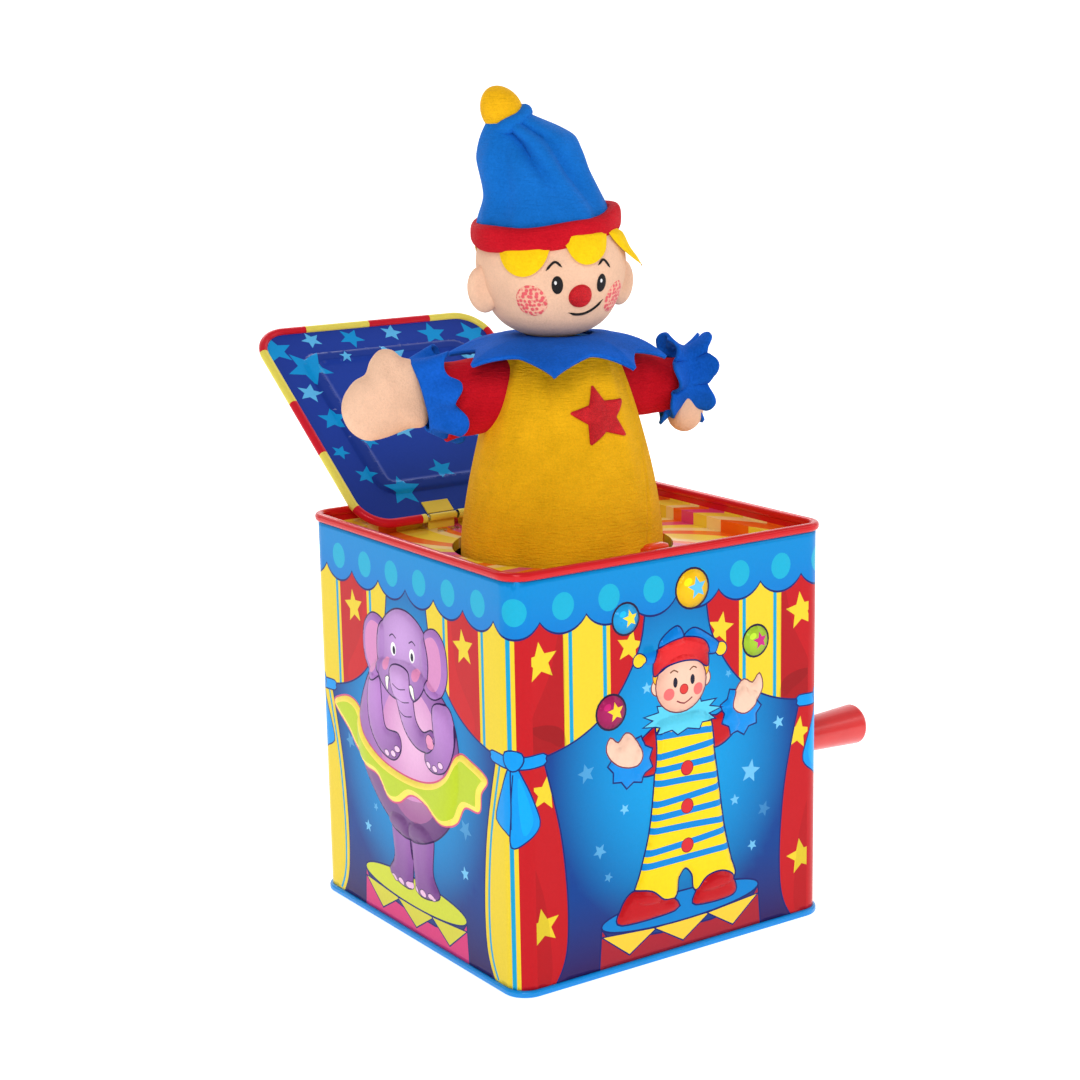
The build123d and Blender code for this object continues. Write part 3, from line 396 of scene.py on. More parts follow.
def juggler():
    """A plain juggling clown of our own: a striped suit, a horned cap, and four balls in the air."""
    skin, blush, suit, stripe = (244, 200, 176), (236, 110, 110), (250, 214, 20), (0, 134, 214)
    body = curve_through(
        [(-8.6, 90), (3, 91.5), (13.6, 90), (16.5, 78), (18.8, 64), (21.5, 46), (24.6, 33), (26.6, 24.5), (17, 22.2),
         (8.4, 23.4), (7, 29.6), (3.6, 33), (0.4, 29.6), (-1.2, 22.6), (-10, 22.6), (-19.6, 25.5), (-16.4, 36), (-12.4, 50),
         (-10.2, 66), (-9.2, 80)]
    )
    left_arm = curve_through([(-7, 88.5), (-13, 87), (-19.5, 81), (-19, 73.5), (-12, 71.5), (-8.4, 74)])
    right_arm = curve_through([(12.5, 89), (18, 88), (25, 90), (28.6, 83.5), (22, 77.6), (15.6, 77.6)])
    left_cuff = star(-20.8, 78.2, 9.6, 10, 0.8, 9)
    right_cuff = star(29.6, 88.2, 9.6, 30, 0.8, 9)
    left_hand = curve_through([(-20, 76.5), (-27, 78.5), (-31, 84), (-29.4, 88.4), (-26, 86), (-22.6, 89), (-19, 86.6), (-16.6, 80)])
    right_hand = curve_through([(26, 90), (28, 96.5), (31.4, 99.4), (35.4, 97.4), (38.6, 100.4), (40, 95), (36, 89.4), (31, 87)])
    shoe_left = curve_through([(-25.4, 17.6), (-25.4, 23.6), (-20.6, 28.6), (-13, 27.6), (-7, 23), (-1.4, 21.8), (-1.2, 17.6)])
    shoe_right = curve_through([(8.6, 17.6), (8.8, 22.4), (12.6, 27.4), (19.8, 28.2), (25.4, 24.8), (26.2, 17.6)])
    ruff = star(2.6, 91.2, 17.5, 6, 0.72, 11)
    ruff = (ruff - (2.6, 91.2)) * (1, 0.36) + (2.6, 91.2)
    face = oval(2.2, 103.2, 11.2, 10.6)
    cap = curve_through([(-9.8, 108), (-8.2, 117), (3, 120), (12.6, 117), (14.4, 108), (9, 111), (2.2, 112), (-4.6, 111)])
    horn_left = curve_through([(-8, 113.4), (-7, 120), (0.6, 124.4), (3.4, 119), (-3, 117.4), (-9.4, 117), (-16.8, 116.2), (-13.4, 112.6)])
    horn_right = curve_through([(3.4, 119), (7.6, 122.6), (13.6, 119.8), (20.4, 114.2), (17.4, 112), (11.4, 113.6)])
    layers = []
    layers += edged(left_arm, RED) + edged(right_arm, RED)
    layers += edged(left_cuff, (10, 140, 225), 0.6) + edged(right_cuff, (10, 140, 225), 0.6)
    layers += edged(left_hand, skin, 0.5, None, (120, 50, 70)) + edged(right_hand, skin, 0.5, None, (120, 50, 70))
    layers += edged(body, suit)
    for k, z in enumerate(np.linspace(37.5, 84.5, 9)):
        lean = 1.6 * math.sin(k * 2.1)
        layers += [(ribbon([(-22, z - lean), (4, z - lean / 4), (28, z + lean)], 2.5), stripe, body)]
    for z in (71.5, 57, 42):
        layers += edged(oval(3.6, z, 2.6), (214, 44, 50), 0.3, None, (120, 20, 40))
    layers += edged(shoe_left, RED) + edged(shoe_right, RED)
    layers += edged(ruff, (90, 205, 235), 0.5)
    for side in (-1, 1):
        layers += edged(oval(2.2 + side * 10.8, 103.4, 2.4, 2.9), skin, 0.45, None, (120, 60, 60))
        layers += edged(oval(2.2 + side * 9.4, 108, 3.0, 4.0, side * 18), (250, 190, 40), 0.4, None, (150, 90, 20))
    layers += edged(face, fading(skin, (232, 172, 150), (2.2, 106), (12, 14), 2), 0.5, None, (110, 50, 70))
    layers += edged(horn_left, (0, 124, 212), 0.6) + edged(horn_right, (0, 124, 212), 0.6)
    layers += edged(cap, fading((226, 40, 44), (170, 14, 34), (0, 116), (18, 12), 2), 0.6)
    for x, z in ((-16.6, 114.6), (20.6, 113)):
        layers += edged(oval(x, z, 2.4), (250, 208, 40), 0.5)
    for side in (-1, 1):
        layers += [(oval(2.2 + side * 3.9, 104.4, 1.0, 1.9), (30, 30, 50), None)]
        layers += [(ribbon([(2.2 + side * 2.6, 108), (2.2 + side * 4.4, 109), (2.2 + side * 6, 108.2)], 0.5), (110, 60, 30), None)]
        layers += [(oval(2.2 + side * 6.6, 100.4, 2.3), blush, face)]
    layers += edged(oval(2.2, 101.4, 1.7), (220, 60, 56), 0.3, None, (150, 30, 40))
    layers += [(ribbon([(-1, 97.4), (2.4, 96), (6, 97.8)], 0.55), (130, 30, 50), None)]
    raised = [(body, 1.5, 3.5), (left_arm, 0.8, 3), (right_arm, 0.8, 3), (left_cuff, 0.8, 2.5), (right_cuff, 0.8, 2.5)]
    raised += [(left_hand, 0.7, 2), (right_hand, 0.7, 2), (shoe_left, 1.5, 4), (shoe_right, 1.5, 4), (face, 1.7, 6)]
    raised += [(cap, 1.0, 3), (horn_left, 1.1, 3), (horn_right, 1.1, 3)]
    for x, z, r, ink, star_ink in (
        (7.4, 137.4, 7.0, (250, 196, 20), (90, 190, 235)),
        (-22.2, 130.8, 5.4, (30, 160, 225), (250, 220, 60)),
        (36.8, 113.2, 5.6, (165, 205, 50), (200, 40, 130)),
        (-29, 98, 6.0, (170, 30, 95), (250, 210, 50)),
    ):
        more, dome = ball(x, z, r, ink, star_ink, 8)
        layers += more
        raised += dome
    return layers, raised


def elephant():
    """A plain purple elephant of our own with a frilled skirt, standing on its drum."""
    hide, shadow, belly, line = (170, 118, 190), (122, 74, 140), (224, 160, 208), (58, 34, 84)
    body = curve_through(
        [(-6, 108), (-22, 104), (-32, 92), (-37, 77), (-35, 62), (-25, 50), (-14, 43), (0, 40), (14, 43), (26, 52), (33, 64),
         (34, 78), (30, 93), (18, 103), (6, 108)]
    )
    legs = [
        curve_through([(-14, 46), (-13.4, 30), (-17.4, 23), (-12, 20), (-3, 19.4), (-1, 24), (-0.6, 46)]),
        curve_through([(0.8, 46), (1.2, 24), (3.6, 19.2), (12, 19.6), (18, 22.6), (13.6, 30), (14, 46)]),
    ]
    skirt = [(-56, 79.6), (-52, 83), (-44, 84.6), (-37, 82), (-31, 73), (-18, 66.6), (0, 64.4), (16, 66), (27, 71.4),
             (34, 81), (42, 80.4), (52, 76.6), (48, 70.6), (46.4, 63.4), (37, 62.4), (31.4, 55), (23, 52.2), (13, 57.4),
             (3, 58.4), (-6, 53.2), (-13.6, 53), (-21, 60), (-31, 61.4), (-39.6, 66), (-45, 71.4)]
    skirt = curve_through(skirt)
    head = curve_through([(-20, 108), (-18, 119), (-9, 126), (2, 126.6), (12, 121), (15.6, 110), (12, 99), (3, 94), (-9, 94), (-17, 99)])
    ear_left = curve_through([(-15, 118), (-24, 122), (-31, 116), (-31, 104), (-24, 97), (-17, 102)])
    ear_right = curve_through([(11, 119), (19, 124), (26, 119), (27, 107), (21, 99), (13, 103)])
    trunk = curve_through([(-8, 105), (4, 105.4), (6, 96), (8, 88), (13, 84.6), (19, 86.6), (21.4, 83), (17, 78.4), (8, 78), (0, 83), (-5, 93)])
    arm_left = curve_through([(-26, 97), (-18, 98.4), (-16.4, 88), (-14, 80), (-5, 79.6), (-3.4, 74), (-9, 69), (-19, 71), (-26, 80)])
    arm_right = curve_through([(20, 96), (28.6, 96), (32, 84), (27.6, 74), (19, 71.4), (14, 74.6), (16, 80.6), (20.4, 83)])
    layers = []
    for leg in legs:
        layers += edged(leg, fading(hide, shadow, (0, 50), (30, 34), 1.0), 0.6, None, line)
        x = leg[:, 0].mean()
        for step in (-5.4, 0, 5.4):
            layers += edged(oval(x + step, 21.0, 1.9, 1.5), (236, 190, 224), 0.3, None, line)
    layers += edged(body, fading((186, 132, 204), shadow, (-6, 92), (44, 62), 1.3), 0.7, None, line)
    layers += [(oval(4, 74, 22, 26), fading((236, 184, 222), (196, 120, 184), (6, 80), (26, 30), 1.4), body)]
    layers += [(curve_through([(-36, 64), (0, 56), (33, 62), (24, 46), (0, 36), (-26, 46)]), shade(0.66), body)]
    layers += edged(skirt, (250, 226, 96), 0.7, None, (214, 90, 130))
    layers += [(grown(skirt, -2.1), (188, 208, 44), None)]
    layers += edged(arm_left, fading((188, 136, 206), (140, 92, 160), (-20, 92), (20, 26), 1.5), 0.6, None, line)
    layers += edged(arm_right, fading((188, 136, 206), (140, 92, 160), (26, 92), (18, 24), 1.5), 0.6, None, line)
    for x, z in ((-8, 71.6), (-12.6, 70.8), (-5.2, 74), (17, 73.6), (21.4, 73.2), (25.4, 75.4)):
        layers += edged(oval(x, z, 1.5, 1.2), (240, 200, 230), 0.28, None, line)
    layers += edged(ear_left, hide, 0.6, None, line) + edged(ear_right, hide, 0.6, None, line)
    layers += [(grown(ear_left, -2.6), (214, 140, 192), None), (grown(ear_right, -2.6), (214, 140, 192), None)]
    layers += edged(head, fading((200, 156, 218), (146, 98, 168), (-2, 116), (22, 24), 1.6), 0.65, None, line)
    layers += edged(trunk, fading((206, 160, 220), (150, 100, 170), (-1, 100), (18, 28), 1.3), 0.6, None, line)
    for z, x, w in ((99, -0.4, 9), (94, 0.2, 9), (89, 1.8, 9)):
        layers += [(ribbon([(x - w / 2, z + 0.6), (x, z - 0.6), (x + w / 2, z + 0.2)], 0.4), line, None)]
    layers += edged(oval(18.6, 82.6, 2.2, 2.8, 40), (232, 150, 190), 0.3, None, line)
    for side in (-1, 1):
        layers += [(oval(-1.4 + side * 6.6, 111.6, 1.9, 2.6), (250, 250, 250), None)]
        layers += [(oval(-1.2 + side * 6.4, 111.2, 1.0, 1.6), (30, 24, 50), None)]
        layers += [(ribbon([(-1.4 + side * 4.6, 116), (-1.4 + side * 7, 117.2), (-1.4 + side * 9.2, 116)], 0.55), line, None)]
        layers += [(oval(-1.6 + side * 10.6, 105.4, 2.4), (226, 140, 186), head)]
        tusk = curve_through([(-1.4 + side * 7.4, 101), (-1.4 + side * 9.8, 100.4), (-1.4 + side * 9.2, 95.6)])
        layers += edged(tusk, (252, 248, 236), 0.35, None, line)
    raised = [(body, 2.0, 9), (legs[0], 1.4, 4), (legs[1], 1.4, 4), (skirt, 0.9, 3), (head, 1.1, 6), (trunk, 0.9, 4)]
    raised += [(ear_left, 0.9, 4), (ear_right, 0.9, 4), (arm_left, 0.8, 4), (arm_right, 0.8, 4)]
    return layers, raised


def sky_stars(spots):
    """Small pale stars in the window: place, size and how pale each one is."""
    return [
        (star(x, z, r, 12 * k), lambda p, under, a=a: under + (linear(PALE_STAR) - under) * a, None)
        for k, (x, z, r, a) in enumerate(spots)
    ]


def wall_print(kind):
    """One wall of the strip, as layers and raised shapes."""
    if kind == "juggler":
        base = stage("red")
        night = sky_stars([(-13.2, 104, 2.3, 0.9), (-40, 77.6, 3.8, 0.35), (-23.5, 61, 2.2, 0.9), (-34.6, 47.6, 3.0, 0.5),
                           (-31, 37, 2.0, 0.4), (34.4, 63.6, 4.7, 0.8), (27, 54, 2.3, 0.8), (48, 80, 2.8, 0.9),
                           (35.4, 34.6, 2.3, 0.8), (24, 103, 1.6, 0.5), (41, 47.6, 3.2, 0.2)])
        platform = drum((0, 128, 205), (168, 34, 50), (247, 205, 60))
        figure, raised = juggler()
    elif kind == "elephant":
        base = stage("yellow")
        night = sky_stars([(-33.4, 35.6, 2.6, 0.85), (36, 37, 2.8, 0.9), (-45, 67, 3.4, 0.35), (37, 54, 4.2, 0.3), (-27, 45, 1.8, 0.5)])
        platform = drum((206, 214, 58), (214, 56, 122), (212, 206, 66), 0.0)
        figure, raised = elephant()
    else:
        base = stage("yellow")
        night = sky_stars([(-30, 52, 2.8, 0.8), (33, 44, 3.0, 0.8), (-38, 72, 3.6, 0.4), (36, 92, 2.6, 0.8), (-20, 100, 2.2, 0.8)])
        platform = drum((206, 214, 58), (214, 56, 122), (212, 206, 66), 0.0)
        figure, raised = [], []
        for x, z, r, ink, star_ink in ((-17, 31.5, 10, (250, 196, 20), (30, 160, 225)), (14, 33, 11.6, (200, 40, 110), (250, 220, 60)),
                                       (-4, 50, 8.6, (30, 160, 225), (250, 220, 60)), (-1, 117, 9, (165, 205, 50), (200, 40, 130))):
            more, dome = ball(x, z, r, ink, star_ink, -6)
            figure += more
            raised += dome
    return [*base[:1], *night, *platform, *base[1:], *figure], raised


def wrapped(s, z, out):
    """A point of the strip on the box: s runs round the walls from the front's middle. Along a flat wall it is
    a straight line, and round a corner an arc of the corner's radius; out is the distance off the wall."""
    wall = np.round(s / QUARTER)
    t = s - wall * QUARTER
    flat = HALF - CORNER
    turn = np.sign(t) * np.maximum(np.abs(t) - flat, 0) / CORNER
    radius = CORNER + out
    x = np.where(np.abs(t) <= flat, t, np.sign(t) * flat) + radius * np.sin(turn)
    y = -flat - radius * np.cos(turn)
    a = wall * np.pi / 2
    return np.stack([x * np.cos(a) - y * np.sin(a), x * np.sin(a) + y * np.cos(a), z], -1)


def mesh_from(name, vertices, faces, smooth=True):
    """A mesh object from arrays in millimetres, linked to the scene."""
    mesh = bpy.data.meshes.new(name)
    mesh.from_pydata(np.asarray(vertices, float) * MM, [], np.asarray(faces).tolist())
    mesh.validate()
    mesh.polygons.foreach_set("use_smooth", np.full(len(mesh.polygons), smooth))
    piece = bpy.data.objects.new(name, mesh)
    bpy.context.scene.collection.objects.link(piece)
    return piece


def corner_paint(piece, colours, name="print"):
    """Stores a colour for each corner of each triangle, which the material reads as an attribute."""
    attribute = piece.data.color_attributes.new(name, "FLOAT_COLOR", "CORNER")
    rgba = np.concatenate([colours.reshape(-1, 3), np.ones((colours.size // 3, 1))], 1)
    attribute.data.foreach_set("color", rgba.astype(np.float32).ravel())


def shader(name, **sockets):
    """A new material and its Principled shader, with the sockets given by name set on the shader itself."""
    material = bpy.data.materials.new(name)
    material.use_nodes = True
    surface = material.node_tree.nodes["Principled BSDF"]
    for socket, value in sockets.items():
        surface.inputs[socket.replace("_", " ")].default_value = value
    return material, material.node_tree, surface


def add_node(tree, kind, links=(), **settings):
    """A node with its settings, then its links: input's name and the socket that feeds it, or a value."""
    node = tree.nodes.new(kind)
    for setting, value in settings.items():
        setattr(node, setting, value)
    for socket, source in dict(links).items():
        if isinstance(source, bpy.types.NodeSocket):
            tree.links.new(source, node.inputs[socket])
        else:
            node.inputs[socket].default_value = source
    return node


def printed_tin():
    """Gloss litho ink on tinplate: the printed colour, mottled a little by the metal's grain, under a varnish
    whose surface has a fine orange peel."""
    material, tree, surface = shader("printed_tin", Roughness=0.32, Metallic=0.1, Coat_Weight=0.16, Coat_Roughness=0.05)
    surface.inputs["Specular IOR Level"].default_value = 0.06
    ink = add_node(tree, "ShaderNodeAttribute", attribute_name="print")
    place = add_node(tree, "ShaderNodeTexCoord").outputs["Object"]
    mottle = add_node(tree, "ShaderNodeTexNoise", {"Vector": place, "Scale": 900.0, "Detail": 3.0})
    tint = add_node(tree, "ShaderNodeMapRange", {"Value": mottle.outputs["Fac"], "To Min": 0.93, "To Max": 1.06})
    colour = add_node(tree, "ShaderNodeVectorMath", {0: ink.outputs["Color"], 1: tint.outputs["Result"]}, operation="MULTIPLY")
    peel = add_node(tree, "ShaderNodeTexNoise", {"Vector": place, "Scale": 260.0, "Detail": 2.0})
    bump = add_node(tree, "ShaderNodeBump", {"Height": peel.outputs["Fac"], "Strength": 0.06, "Distance": 0.0006})
    tree.links.new(colour.outputs["Vector"], surface.inputs["Base Color"])
    tree.links.new(bump.outputs["Normal"], surface.inputs["Normal"])
    return material


def bare_tin():
    """The unprinted side of the tinplate: bright metal with a fine rolled grain."""
    material, tree, surface = shader("bare_tin", Metallic=1.0, Base_Color=(0.62, 0.62, 0.6, 1))
    place = add_node(tree, "ShaderNodeTexCoord").outputs["Object"]
    grain = add_node(tree, "ShaderNodeMapping", {"Vector": place, "Scale": (300.0, 300.0, 4000.0)})
    noise = add_node(tree, "ShaderNodeTexNoise", {"Vector": grain.outputs["Vector"], "Scale": 1.0, "Detail": 3.0})
    rough = add_node(tree, "ShaderNodeMapRange", {"Value": noise.outputs["Fac"], "To Min": 0.25, "To Max": 0.45})
    tree.links.new(rough.outputs["Result"], surface.inputs["Roughness"])
    return material


def printed_piece(name, sheets, inner=True):
    """One mesh from several flat prints already placed in space, with the printed side out and, if inner, the
    bare side in, a tin thickness behind it. Coinciding edges are joined."""
    points, faces, colours, count = [], [], [], 0
    for vertices, triangles, ink in sheets:
        points.append(vertices)
        faces.append(triangles + count)
        colours.append(ink)
        count += len(vertices)
    points, faces, colours = np.vstack(points), np.vstack(faces), np.vstack(colours)
    key = np.round(points / 0.004).astype(np.int64)
    _, first, same = np.unique(key, axis=0, return_index=True, return_inverse=True)
    faces = same.reshape(-1)[faces]
    whole = (faces[:, 0] != faces[:, 1]) & (faces[:, 1] != faces[:, 2]) & (faces[:, 2] != faces[:, 0])
    piece = mesh_from(name, points[first], faces[whole])
    corner_paint(piece, colours[whole])
    piece.data.materials.append(PRINTED_TIN)
    if inner:
        piece.data.materials.append(BARE_TIN)
        wall = piece.modifiers.new("thickness", "SOLIDIFY")
        wall.thickness = TIN * MM
        wall.offset = -1.0
        wall.material_offset = 1
        wall.material_offset_rim = 1
    return piece


PRINTED_TIN = printed_tin()
BARE_TIN = bare_tin()
BUSH_Z = 75.0
walls = []
for wall, kind in enumerate(("juggler", "balls", "juggler", "elephant")):
    layers, raised = wall_print(kind)
    edge = QUARTER / 2
    steps = np.linspace(WALL_LOW, WALL_HIGH, 38)
    arc = np.linspace(edge, HALF - CORNER, 6)
    border = np.vstack([
        np.stack([np.full(38, -edge), steps[::-1]], 1),
        np.stack([-arc[1:], np.full(5, WALL_LOW)], 1),
        np.stack([arc[:0:-1], np.full(5, WALL_LOW)], 1),
        np.stack([np.full(38, edge), steps], 1),
        np.stack([arc[1:], np.full(5, WALL_HIGH)], 1),
        np.stack([-arc[:0:-1], np.full(5, WALL_HIGH)], 1),
    ])
    for a in arc[1:]:
        for sign in (-1, 1):
            upright = np.array([(sign * a, WALL_LOW), (sign * a, WALL_HIGH), (sign * a + 0.001, WALL_HIGH)])
            layers.insert(0, (upright, (0, 0, 0), None))
    flat, triangles, ink, height = flat_print(border, layers, raised)
    placed = wrapped(flat[:, 0] + wall * QUARTER, flat[:, 1], height)
    walls.append((placed, triangles, ink))
body = printed_piece("printed_walls", walls)
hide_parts("tin_body")
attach(body, "case")

# ---------------------------------------------------------------------------------------------
# BOTTOM AND TOP PLATES. Both are pressings in printed tin, seamed to the walls in a rolled bead: blue at
# the foot, red at the rim. The top one steps down to a ledge and a recess, printed with a burst of shards.
def finish(node, material):
    """Gives a CAD piece its material."""
    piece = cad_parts[node]
    piece.data.materials.clear()
    piece.data.materials.append(material)


def steps(tree, value, stops):
    """A ramp of flat colours: each one starts at its place and holds to the next."""
    ramp = add_node(tree, "ShaderNodeValToRGB", {"Fac": value})
    ramp.color_ramp.interpolation = "CONSTANT"
    while len(ramp.color_ramp.elements) < len(stops):
        ramp.color_ramp.elements.new(1.0)
    for element, (place, rgb) in zip(ramp.color_ramp.elements, stops):
        element.position = place
        element.color = (*linear(rgb), 1)
    return ramp.outputs["Color"]


def enamel(name, rgb, roughness=0.22):
    """Gloss paint on metal: one colour, a little uneven, with a fine orange peel in the varnish."""
    material, tree, surface = shader(name, Roughness=roughness, Coat_Weight=0.3, Coat_Roughness=0.06)
    surface.inputs["Specular IOR Level"].default_value = 0.15
    place = add_node(tree, "ShaderNodeTexCoord").outputs["Object"]
    cloud = add_node(tree, "ShaderNodeTexNoise", {"Vector": place, "Scale": 120.0, "Detail": 3.0})
    base = linear(rgb)
    dark, light = (*(base * 0.86), 1), (*np.clip(base * 1.1, 0, 1), 1)
    mix = add_node(tree, "ShaderNodeMix", {"Factor": cloud.outputs["Fac"]}, data_type="RGBA")
    mix.inputs[6].default_value, mix.inputs[7].default_value = dark, light
    peel = add_node(tree, "ShaderNodeTexNoise", {"Vector": place, "Scale": 300.0, "Detail": 2.0})
    bump = add_node(tree, "ShaderNodeBump", {"Height": peel.outputs["Fac"], "Strength": 0.08, "Distance": 0.0005})
    tree.links.new(mix.outputs[2], surface.inputs["Base Color"])
    tree.links.new(bump.outputs["Normal"], surface.inputs["Normal"])
    return material


def shard_tin():
    """Gloss print of shards that spread from the mouth. The angle round it, plus a twist that grows with the
    distance, picks a colour; above the ledge everything is the red of the rim."""
    material, tree, surface = shader("shard_tin", Roughness=0.24, Coat_Weight=0.3, Coat_Roughness=0.05, Metallic=0.1)
    surface.inputs["Specular IOR Level"].default_value = 0.1
    place = add_node(tree, "ShaderNodeTexCoord").outputs["Object"]
    part = add_node(tree, "ShaderNodeSeparateXYZ", {"Vector": place})
    angle = add_node(tree, "ShaderNodeMath", {0: part.outputs["Y"], 1: part.outputs["X"]}, operation="ARCTAN2")
    flat = add_node(tree, "ShaderNodeVectorMath", {0: place, 1: (1.0, 1.0, 0.0)}, operation="MULTIPLY")
    reach = add_node(tree, "ShaderNodeVectorMath", {0: flat.outputs["Vector"]}, operation="LENGTH")
    twist = add_node(tree, "ShaderNodeMath", {0: reach.outputs["Value"], 1: 11.0, 2: angle.outputs[0]}, operation="MULTIPLY_ADD")
    many = add_node(tree, "ShaderNodeMath", {0: twist.outputs[0], 1: 7 / (2 * math.pi)}, operation="MULTIPLY")
    turn_share = add_node(tree, "ShaderNodeMath", {0: many.outputs[0]}, operation="FRACT")
    gold, orange, cream, pink = (240, 208, 60), (238, 104, 22), (244, 214, 140), (222, 70, 120)
    burst = steps(tree, turn_share.outputs[0], [(0, gold), (0.24, orange), (0.4, cream), (0.52, gold), (0.66, pink), (0.8, orange), (0.9, cream)])
    low = add_node(tree, "ShaderNodeMath", {0: part.outputs["Z"], 1: LEDGE + 0.0006}, operation="GREATER_THAN")
    mix = add_node(tree, "ShaderNodeMix", {"Factor": low.outputs[0]}, data_type="RGBA")
    tree.links.new(burst, mix.inputs[6])
    mix.inputs[7].default_value = (*linear((205, 20, 28)), 1)
    tree.links.new(mix.outputs[2], surface.inputs["Base Color"])
    return material


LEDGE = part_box("hinge_pins")[0].z + 0.0009
finish("bottom_plate", enamel("foot_enamel", (0, 140, 222)))
finish("top_plate", shard_tin())

# ---------------------------------------------------------------------------------------------
# HINGE. Two tongues of the same yellow printed tin, riveted to the plate, curl round steel pins in the
# lid's hem, and a flap of tin is folded over the lid above each one.
yellow_enamel = enamel("yellow_enamel", (226, 200, 66))


def bright_metal(name, rgb, roughness, grain=(600.0, 600.0, 600.0)):
    """Plain metal with fine marks: stretched noise moves the roughness and a slight bump."""
    material, tree, surface = shader(name, Metallic=1.0, Base_Color=(*linear(rgb), 1))
    place = add_node(tree, "ShaderNodeTexCoord").outputs["Object"]
    along = add_node(tree, "ShaderNodeMapping", {"Vector": place, "Scale": grain})
    noise = add_node(tree, "ShaderNodeTexNoise", {"Vector": along.outputs["Vector"], "Scale": 1.0, "Detail": 4.0})
    rough = add_node(tree, "ShaderNodeMapRange", {"Value": noise.outputs["Fac"], "To Min": roughness * 0.7, "To Max": roughness * 1.4})
    bump = add_node(tree, "ShaderNodeBump", {"Height": noise.outputs["Fac"], "Strength": 0.15, "Distance": 0.0002})
    tree.links.new(rough.outputs["Result"], surface.inputs["Roughness"])
    tree.links.new(bump.outputs["Normal"], surface.inputs["Normal"])
    return material


steel = bright_metal("bright_steel", (200, 202, 205), 0.22)
dark_steel = bright_metal("spring_steel", (128, 130, 136), 0.3, (2000.0, 2000.0, 400.0))
brass = bright_metal("brass", (214, 172, 84), 0.26)
for node in ("hinge_tongues", "hinge_flaps"):
    finish(node, yellow_enamel)
for node in ("hinge_pins", "hinge_rivets"):
    finish(node, steel)

# ---------------------------------------------------------------------------------------------
# LID. One pressing printed on both sides, dark blue with stars inside and a sunburst outside, with a raised
# rectangular bead, and its edge rolled into a hem whose colour changes from red to yellow as it goes round.
lid_tilt = math.radians(143.0)
lid_up = np.array([0.0, -math.cos(lid_tilt), math.sin(lid_tilt)])
lid_inward = np.array([0.0, -math.sin(lid_tilt), -math.cos(lid_tilt)])
hinge_low, hinge_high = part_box("hinge_pins")
hinge_line = np.array([0.0, (hinge_low.y + hinge_high.y) / 2, (hinge_low.z + hinge_high.z) / 2]) / MM
LID_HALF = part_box("lid")[1].x / MM
HEM = 1.8
LID_LONG = 114.0
LID_MIDDLE = LID_LONG / 2 - HEM
LID_CORNER = 15.0


def on_lid(x, along, inward):
    """A point by its place across the lid, along it from the hinge, and in from its inner face."""
    x, along, inward = np.broadcast_arrays(x, along, inward)
    return hinge_line + x[..., None] * np.array([1.0, 0, 0]) + along[..., None] * lid_up + inward[..., None] * lid_inward


def rounded_square(u, half_x, half_y, corner, shift=0.0):
    """A rectangle with round corners as a function of the share u of its length: straight runs at one speed,
    and arcs at the same speed, from the middle of the bottom side, and each point's outward direction."""
    run_x, run_y, arc = 2 * (half_x - corner), 2 * (half_y - corner), math.pi / 2 * corner
    whole = 2 * run_x + 2 * run_y + 4 * arc
    s = (np.asarray(u, float) % 1) * whole
    ends = np.cumsum([0, run_x / 2, arc, run_y, arc, run_x, arc, run_y, arc, run_x / 2])
    k = np.clip(np.searchsorted(ends, s, side="right") - 1, 0, 8)
    d = s - ends[k]
    a, b = half_x - corner, half_y - corner
    straight = k % 2 == 0
    heading = (np.array([0, 0, 1, 1, 2, 2, 3, 3, 4])[k]) * math.pi / 2 + np.where(straight, 0, d / max(corner, 1e-9))
    start_x = np.array([0, a, a + corner, a, a, -a, -a - corner, -a, -a])[k]
    start_y = np.array([-b - corner, -b, -b, b, b + corner, b, b, -b, -b - corner])[k]
    out = np.stack([np.sin(heading), -np.cos(heading)], -1)
    x = np.where(straight, start_x + d * np.cos(heading), start_x + corner * out[..., 0])
    y = np.where(straight, start_y + d * np.sin(heading), start_y + corner * out[..., 1])
    return np.stack([x, y + shift], -1), out


def grid_faces(rows, columns, close_rows, close_columns):
    """The quads of a grid of points, stored row by row, closed either way if wanted."""
    r = np.arange(rows if close_rows else rows - 1)
    c = np.arange(columns if close_columns else columns - 1)
    r, c = np.meshgrid(r, c, indexing="ij")
    r2, c2 = (r + 1) % rows, (c + 1) % columns
    return np.stack([r * columns + c, r * columns + c2, r2 * columns + c2, r2 * columns + c], -1).reshape(-1, 4)


def woven(name, points, close_rows=False, close_columns=True, flip=False):
    """A mesh from a grid of points (rows, columns, 3), with coinciding points at its poles joined, and faces
    turned the other way if flip."""
    rows, columns = points.shape[:2]
    faces = grid_faces(rows, columns, close_rows, close_columns)
    flat = points.reshape(-1, 3)
    key = np.round(flat / 0.002).astype(np.int64)
    _, first, same = np.unique(key, axis=0, return_index=True, return_inverse=True)
    faces = same.reshape(-1)[faces]
    if flip:
        faces = faces[:, ::-1]
    kept = [list(dict.fromkeys(f)) for f in faces.tolist()]
    mesh = bpy.data.meshes.new(name)
    mesh.from_pydata(flat[first] * MM, [], [f for f in kept if len(f) > 2])
    mesh.validate()
    mesh.polygons.foreach_set("use_smooth", np.ones(len(mesh.polygons), bool))
    piece = bpy.data.objects.new(name, mesh)
    bpy.context.scene.collection.objects.link(piece)
    return piece


def dress_up(piece, material, body, slot, *nodes):
    """Gives a finished piece its material and its body, and hides the CAD pieces it stands for. slot is not used."""
    piece.data.materials.append(material)
    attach(piece, body)
    if nodes:
        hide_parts(*nodes)
    return piece


